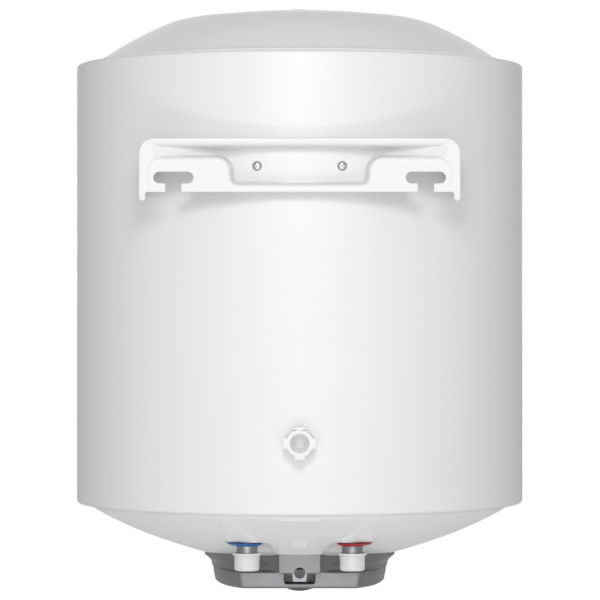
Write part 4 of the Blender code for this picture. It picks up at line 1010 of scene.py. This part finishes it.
def level_rings(inset=0.0, lift=0.0, open_top=-0.3300):
    rings = []
    for section, z, extra in cover_levels():
        ring = ring_points(section, extra + inset)
        rings.append(np.column_stack([ring[:, 0], AXIS_Y + ring[:, 1],
                                      np.full(len(ring), max(z, FLOOR_Z + lift))]))
        if z < FLOOR_Z + lift:
            break
    if inset:
        rings[0][:, 2] = open_top
    return rings


def shell_object(name, rings):
    """A temporary closed object through rings of equal count."""
    grid = np.concatenate([r[None] for r in rings])
    rows, count = grid.shape[:2]
    faces = sheet_faces(rows, count, True)
    top = len(grid.reshape(-1, 3))
    centre_top = grid[0].mean(0)
    centre_low = grid[-1].mean(0)
    points = np.vstack([grid.reshape(-1, 3), centre_top, centre_low])
    for c in range(count):
        d = (c + 1) % count
        faces.append((d, c, top))
        faces.append(((rows - 1) * count + c, (rows - 1) * count + d, top + 1))
    mesh = bpy.data.meshes.new(name)
    mesh.from_pydata(points.tolist(), [], faces)
    shape = bmesh.new()
    shape.from_mesh(mesh)
    bmesh.ops.recalc_face_normals(shape, faces=shape.faces)
    shape.to_mesh(mesh)
    shape.free()
    return linked(name, mesh)


def rounded_slab(name, corners, near, far, edge=0.0, draft=0.0, steps=6):
    """A closed slab: an outline of (x, z, radius) corners drawn along Y, its near edge rounded."""
    outline = np.array(rounded(corners, steps))
    area = 0.5 * np.sum(outline[:, 0] * np.roll(outline[:, 1], -1)
                        - np.roll(outline[:, 0], -1) * outline[:, 1])
    along = np.roll(outline, -1, axis=0) - np.roll(outline, 1, axis=0)
    along /= np.maximum(np.linalg.norm(along, axis=1), 1e-9)[:, None]
    inward = np.stack([-along[:, 1], along[:, 0]], 1) * (1 if area > 0 else -1)
    rings = []
    if edge:
        for a in np.linspace(math.pi / 2, 0, 6):
            moved = outline + inward * edge * (1 - math.cos(a))
            rings.append(np.column_stack([moved[:, 0], np.full(len(moved), near
                         - edge * (1 - math.sin(a))), moved[:, 1]]))
    else:
        rings.append(np.column_stack([outline[:, 0], np.full(len(outline), near), outline[:, 1]]))
    moved = outline + inward * draft
    rings.append(np.column_stack([moved[:, 0], np.full(len(moved), far), moved[:, 1]]))
    return shell_object(name, rings)


def combine(target, other, operation):
    change = target.modifiers.new("change", "BOOLEAN")
    change.operation = operation
    change.solver = "MANIFOLD"
    change.object = other
    graph = bpy.context.evaluated_depsgraph_get()
    mesh = bpy.data.meshes.new_from_object(target.evaluated_get(graph))
    target.modifiers.remove(change)
    target.data = mesh
    bpy.data.objects.remove(other)


def make_control_cover():
    cover = shell_object("control_housing", level_rings())
    block = rounded_slab("block", [
        (-0.0205, -0.3330, 0.0010), (0.0205, -0.3330, 0.0010), (0.0202, LEDGE_Z - 0.0003, 0.0016),
        (-0.0202, LEDGE_Z - 0.0003, 0.0016)], AXIS_Y + 0.122, AXIS_Y + 0.100, 0.0012)
    combine(cover, block, "UNION")
    hollow = shell_object("hollow", level_rings(0.0025, 0.0025))
    combine(cover, hollow, "DIFFERENCE")
    pocket = rounded_slab("pocket", [
        (-0.0155, LEDGE_Z + 0.0004, 0.0004), (0.0155, LEDGE_Z + 0.0004, 0.0004),
        (0.0147, -0.3752, 0.0022), (-0.0147, -0.3752, 0.0022)], AXIS_Y + 0.1090, AXIS_Y + 0.099,
        0.0, 0.0010)
    combine(cover, pocket, "DIFFERENCE")
    room = rounded_slab("room", [
        (-0.0152, LEDGE_Z - 0.010, 0.001), (0.0152, LEDGE_Z - 0.010, 0.001),
        (0.0152, -0.3600, 0.001), (-0.0152, -0.3600, 0.001)], AXIS_Y + 0.1185, AXIS_Y + 0.095)
    combine(cover, room, "DIFFERENCE")
    hole = cylinder_object("cable_way", 0.00525, AXIS_Y + 0.130, AXIS_Y + 0.100, CABLE_Z)
    combine(cover, hole, "DIFFERENCE")
    for name, radius, x, y in (("dial", 0.0045, 0.0, AXIS_Y), ("lamp", 0.0042, 0.0, LAMP_Y),
                               ("left", 0.0022, COVER_SCREW_X, AXIS_Y),
                               ("right", 0.0022, -COVER_SCREW_X, AXIS_Y)):
        hole = post_object(name, radius, x, y, -0.370, -0.385)
        combine(cover, hole, "DIFFERENCE")
    mesh = cover.data
    bpy.data.objects.remove(cover)
    finish_piece("control_housing", mesh, "silver_plastic", "heater",
                 ("control_cover",), 30)


def cylinder_object(name, radius, near, far, z, steps=48):
    outline = [(radius * math.cos(a), z + radius * math.sin(a))
               for a in np.linspace(0, 2 * math.pi, steps, endpoint=False)]
    rings = [np.array([(x, y, h) for x, h in outline]) for y in (near, far)]
    return shell_object(name, rings)


def post_object(name, radius, x, y, top, low, steps=40):
    outline = [(x + radius * math.cos(a), y + radius * math.sin(a))
               for a in np.linspace(0, 2 * math.pi, steps, endpoint=False)]
    rings = [np.array([(a, b, z) for a, b in outline]) for z in (top, low)]
    return shell_object(name, rings)


def make_clamp():
    tongue = rounded_slab("clamp", [
        (-0.0074, LEDGE_Z + 0.0016, 0.0004), (0.0074, LEDGE_Z + 0.0016, 0.0004),
        (0.0063, -0.3712, 0.0008), (-0.0063, -0.3712, 0.0008)], AXIS_Y + 0.1217, AXIS_Y + 0.1190,
        0.0006)
    bar = rounded_slab("bar", [
        (-0.0050, -0.3690, 0.0005), (0.0050, -0.3690, 0.0005), (0.0050, -0.3710, 0.0005),
        (-0.0050, -0.3710, 0.0005)], AXIS_Y + 0.1200, AXIS_Y + 0.1005)
    combine(tongue, bar, "UNION")
    hole = cylinder_object("cable_way", 0.0053, AXIS_Y + 0.140, AXIS_Y + 0.110, CABLE_Z)
    combine(tongue, hole, "DIFFERENCE")
    mesh = tongue.data
    bpy.data.objects.remove(tongue)
    finish_piece("cable_clip", mesh, "clamp_plastic", "heater",
                 ("cable_clamp",), 35)


def make_dial():
    bottom, crown, top = -0.3905, 0.034, -0.3794
    centre = bottom + crown
    dome = [(crown * math.sin(a), centre - crown * math.cos(a))
            for a in np.linspace(0, math.asin(0.0186 / crown), 14)]
    profile = dome + rounded([dome[-1] + (0,), (0.0206, -0.3846, 0.0008), (0.0207, top, 0.0006),
                              (0.0040, top, 0.0)], 5, False)[1:] + [(0.0033, top + 0.0001),
                              (0.0033, bottom + 0.0042), (0.0, bottom + 0.0042)]
    disc = turn_mesh(profile, 128, "dial_plastic", CENTRE, closed=False)
    shape = bmesh.new()
    bmesh.ops.create_cube(shape, size=1.0)
    bmesh.ops.scale(shape, vec=(0.0007, 0.0014, 0.0032), verts=shape.verts)
    bmesh.ops.translate(shape, vec=(0.02068, 0.0, -0.3818), verts=shape.verts)
    bmesh.ops.bevel(shape, geom=list(shape.edges), offset=0.00025, segments=2, affect="EDGES",
                    profile=0.5)
    rib = bpy.data.meshes.new("rib")
    shape.to_mesh(rib)
    shape.free()
    ribs = grow(rib, TREES["circle"], {
        "Count": 36, "First Turn": 0.0, "Finish": FINISH["dial_plastic"]})
    mesh = joined([disc, ribs])
    mesh.transform(Matrix.Translation((0.0, AXIS_Y, 0.0)))
    finish_piece("dial", mesh, "dial_plastic", "knob", ("temperature_knob",), 35)


def make_lens():
    profile = rounded([
        (0.0, -0.3742, 0), (0.0055, -0.3742, 0.0002), (0.0055, -0.3758, 0.0002),
        (0.0039, -0.3758, 0.0), (0.0039, -0.3800, 0.0012), (0.0, -0.3812, 0)], 5, False)
    mesh = turn_mesh(profile, 48, "lens_red", (0.0, LAMP_Y, 0.0), closed=False)
    finish_piece("lamp_lens", mesh, "lens_red", "heater", ("pilot_lens",), 35)


def paint_inner_nodes():
    """Finishes for the CAD pieces that stay."""
    kinds = {
        "white_nylon": ("hot_dip_tube", "cold_diffuser", "terminal_block", "pilot_lamp"),
        "thermoset": ("thermostat_body",),
        "red_plastic": ("reset_button",),
        "plated_steel": ("hanger_plate", "hanger_boss_left", "hanger_boss_right", "flange_collar",
                         "flange_plate", "anode_nut", "thermostat_probe", "thermostat_spindle",
                         "earth_stud", "flange_bolt_1", "flange_bolt_2", "flange_bolt_3",
                         "flange_bolt_4", "flange_bolt_5", "flange_bolt_6"),
        "tank_enamel": ("tank_shell", "tank_top_head", "tank_bottom_head"),
        "foam": ("foam_body", "foam_top", "foam_bottom"),
        "copper": ("heating_element", "thermowell"),
        "cast_magnesium": ("anode_rod",),
        "gasket_rubber": ("flange_gasket",),
        "wire_brown": ("wire_live",),
        "wire_blue": ("wire_neutral",),
        "wire_earth": ("wire_earth",),
    }
    for finish, names in kinds.items():
        for name in names:
            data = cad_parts[name].data
            data.materials.clear()
            data.materials.append(FINISH[finish])


def make_screws():
    """Cross-recess heads in the bracket and under the control cover, with their shanks."""
    seat = AXIS_Y + math.sqrt(RECESS_R ** 2 - BRACKET_SCREW_X ** 2)
    spots = [((side * BRACKET_SCREW_X, seat - 0.0002, BRACKET_SCREW_Z), (side * 0.05, 0.9987, 0.0))
             for side in (-1, 1)]
    heads = grow(screw_spots(spots), TREES["screw"], {
        "Head Radius": 0.0047, "Head Height": 0.0026, "Recess": 0.0052, "Slot": 0.0010,
        "Finish": FINISH["plated_steel"]})
    shanks = []
    for side in (-1, 1):
        profile = [(0.0, 0.0), (0.0020, 0.0), (0.0020, -0.022), (0.0, -0.022)]
        shank = turn_mesh(profile, 24, "plated_steel", CENTRE, closed=False)
        shank.transform(Matrix.Translation((side * BRACKET_SCREW_X, seat, BRACKET_SCREW_Z))
                        @ TO_WALL)
        shanks.append(shank)
    finish_piece("bracket_screws", joined([heads] + shanks), "plated_steel", "heater",
                 ("bracket_screw_left", "bracket_screw_right"), 35)
    spots = [((side * COVER_SCREW_X, AXIS_Y, -0.3791), (0.0, 0.0, -1.0)) for side in (-1, 1)]
    heads = grow(screw_spots(spots), TREES["screw"], {
        "Head Radius": 0.0040, "Head Height": 0.0021, "Recess": 0.0044, "Slot": 0.0009,
        "Finish": FINISH["plated_steel"]})
    shank = [(0.0, -0.358), (0.0016, -0.359), (0.0016, -0.3795), (0.0, -0.3795)]
    shanks = [turn_mesh(shank, 24, "plated_steel", (side * COVER_SCREW_X, AXIS_Y, 0.0), closed=False)
              for side in (-1, 1)]
    finish_piece("cover_screws", joined([heads] + shanks), "plated_steel", "heater",
                 ("cover_screw_left", "cover_screw_right"), 35)


make_camera()
make_world()
make_lights()
make_floor()
FINISH = make_finishes()
TREES = {"turning": turning_tree(), "circle": circle_tree(), "thread": thread_tree(),
         "screw": screw_tree()}
make_jacket()
make_top_cover()
make_bottom_cover()
make_bracket()
make_screws()
make_spacer()
make_connections()
make_control_cover()
make_clamp()
make_dial()
make_lens()
paint_inner_nodes()
bpy.context.scene.view_settings.view_transform = "Standard"
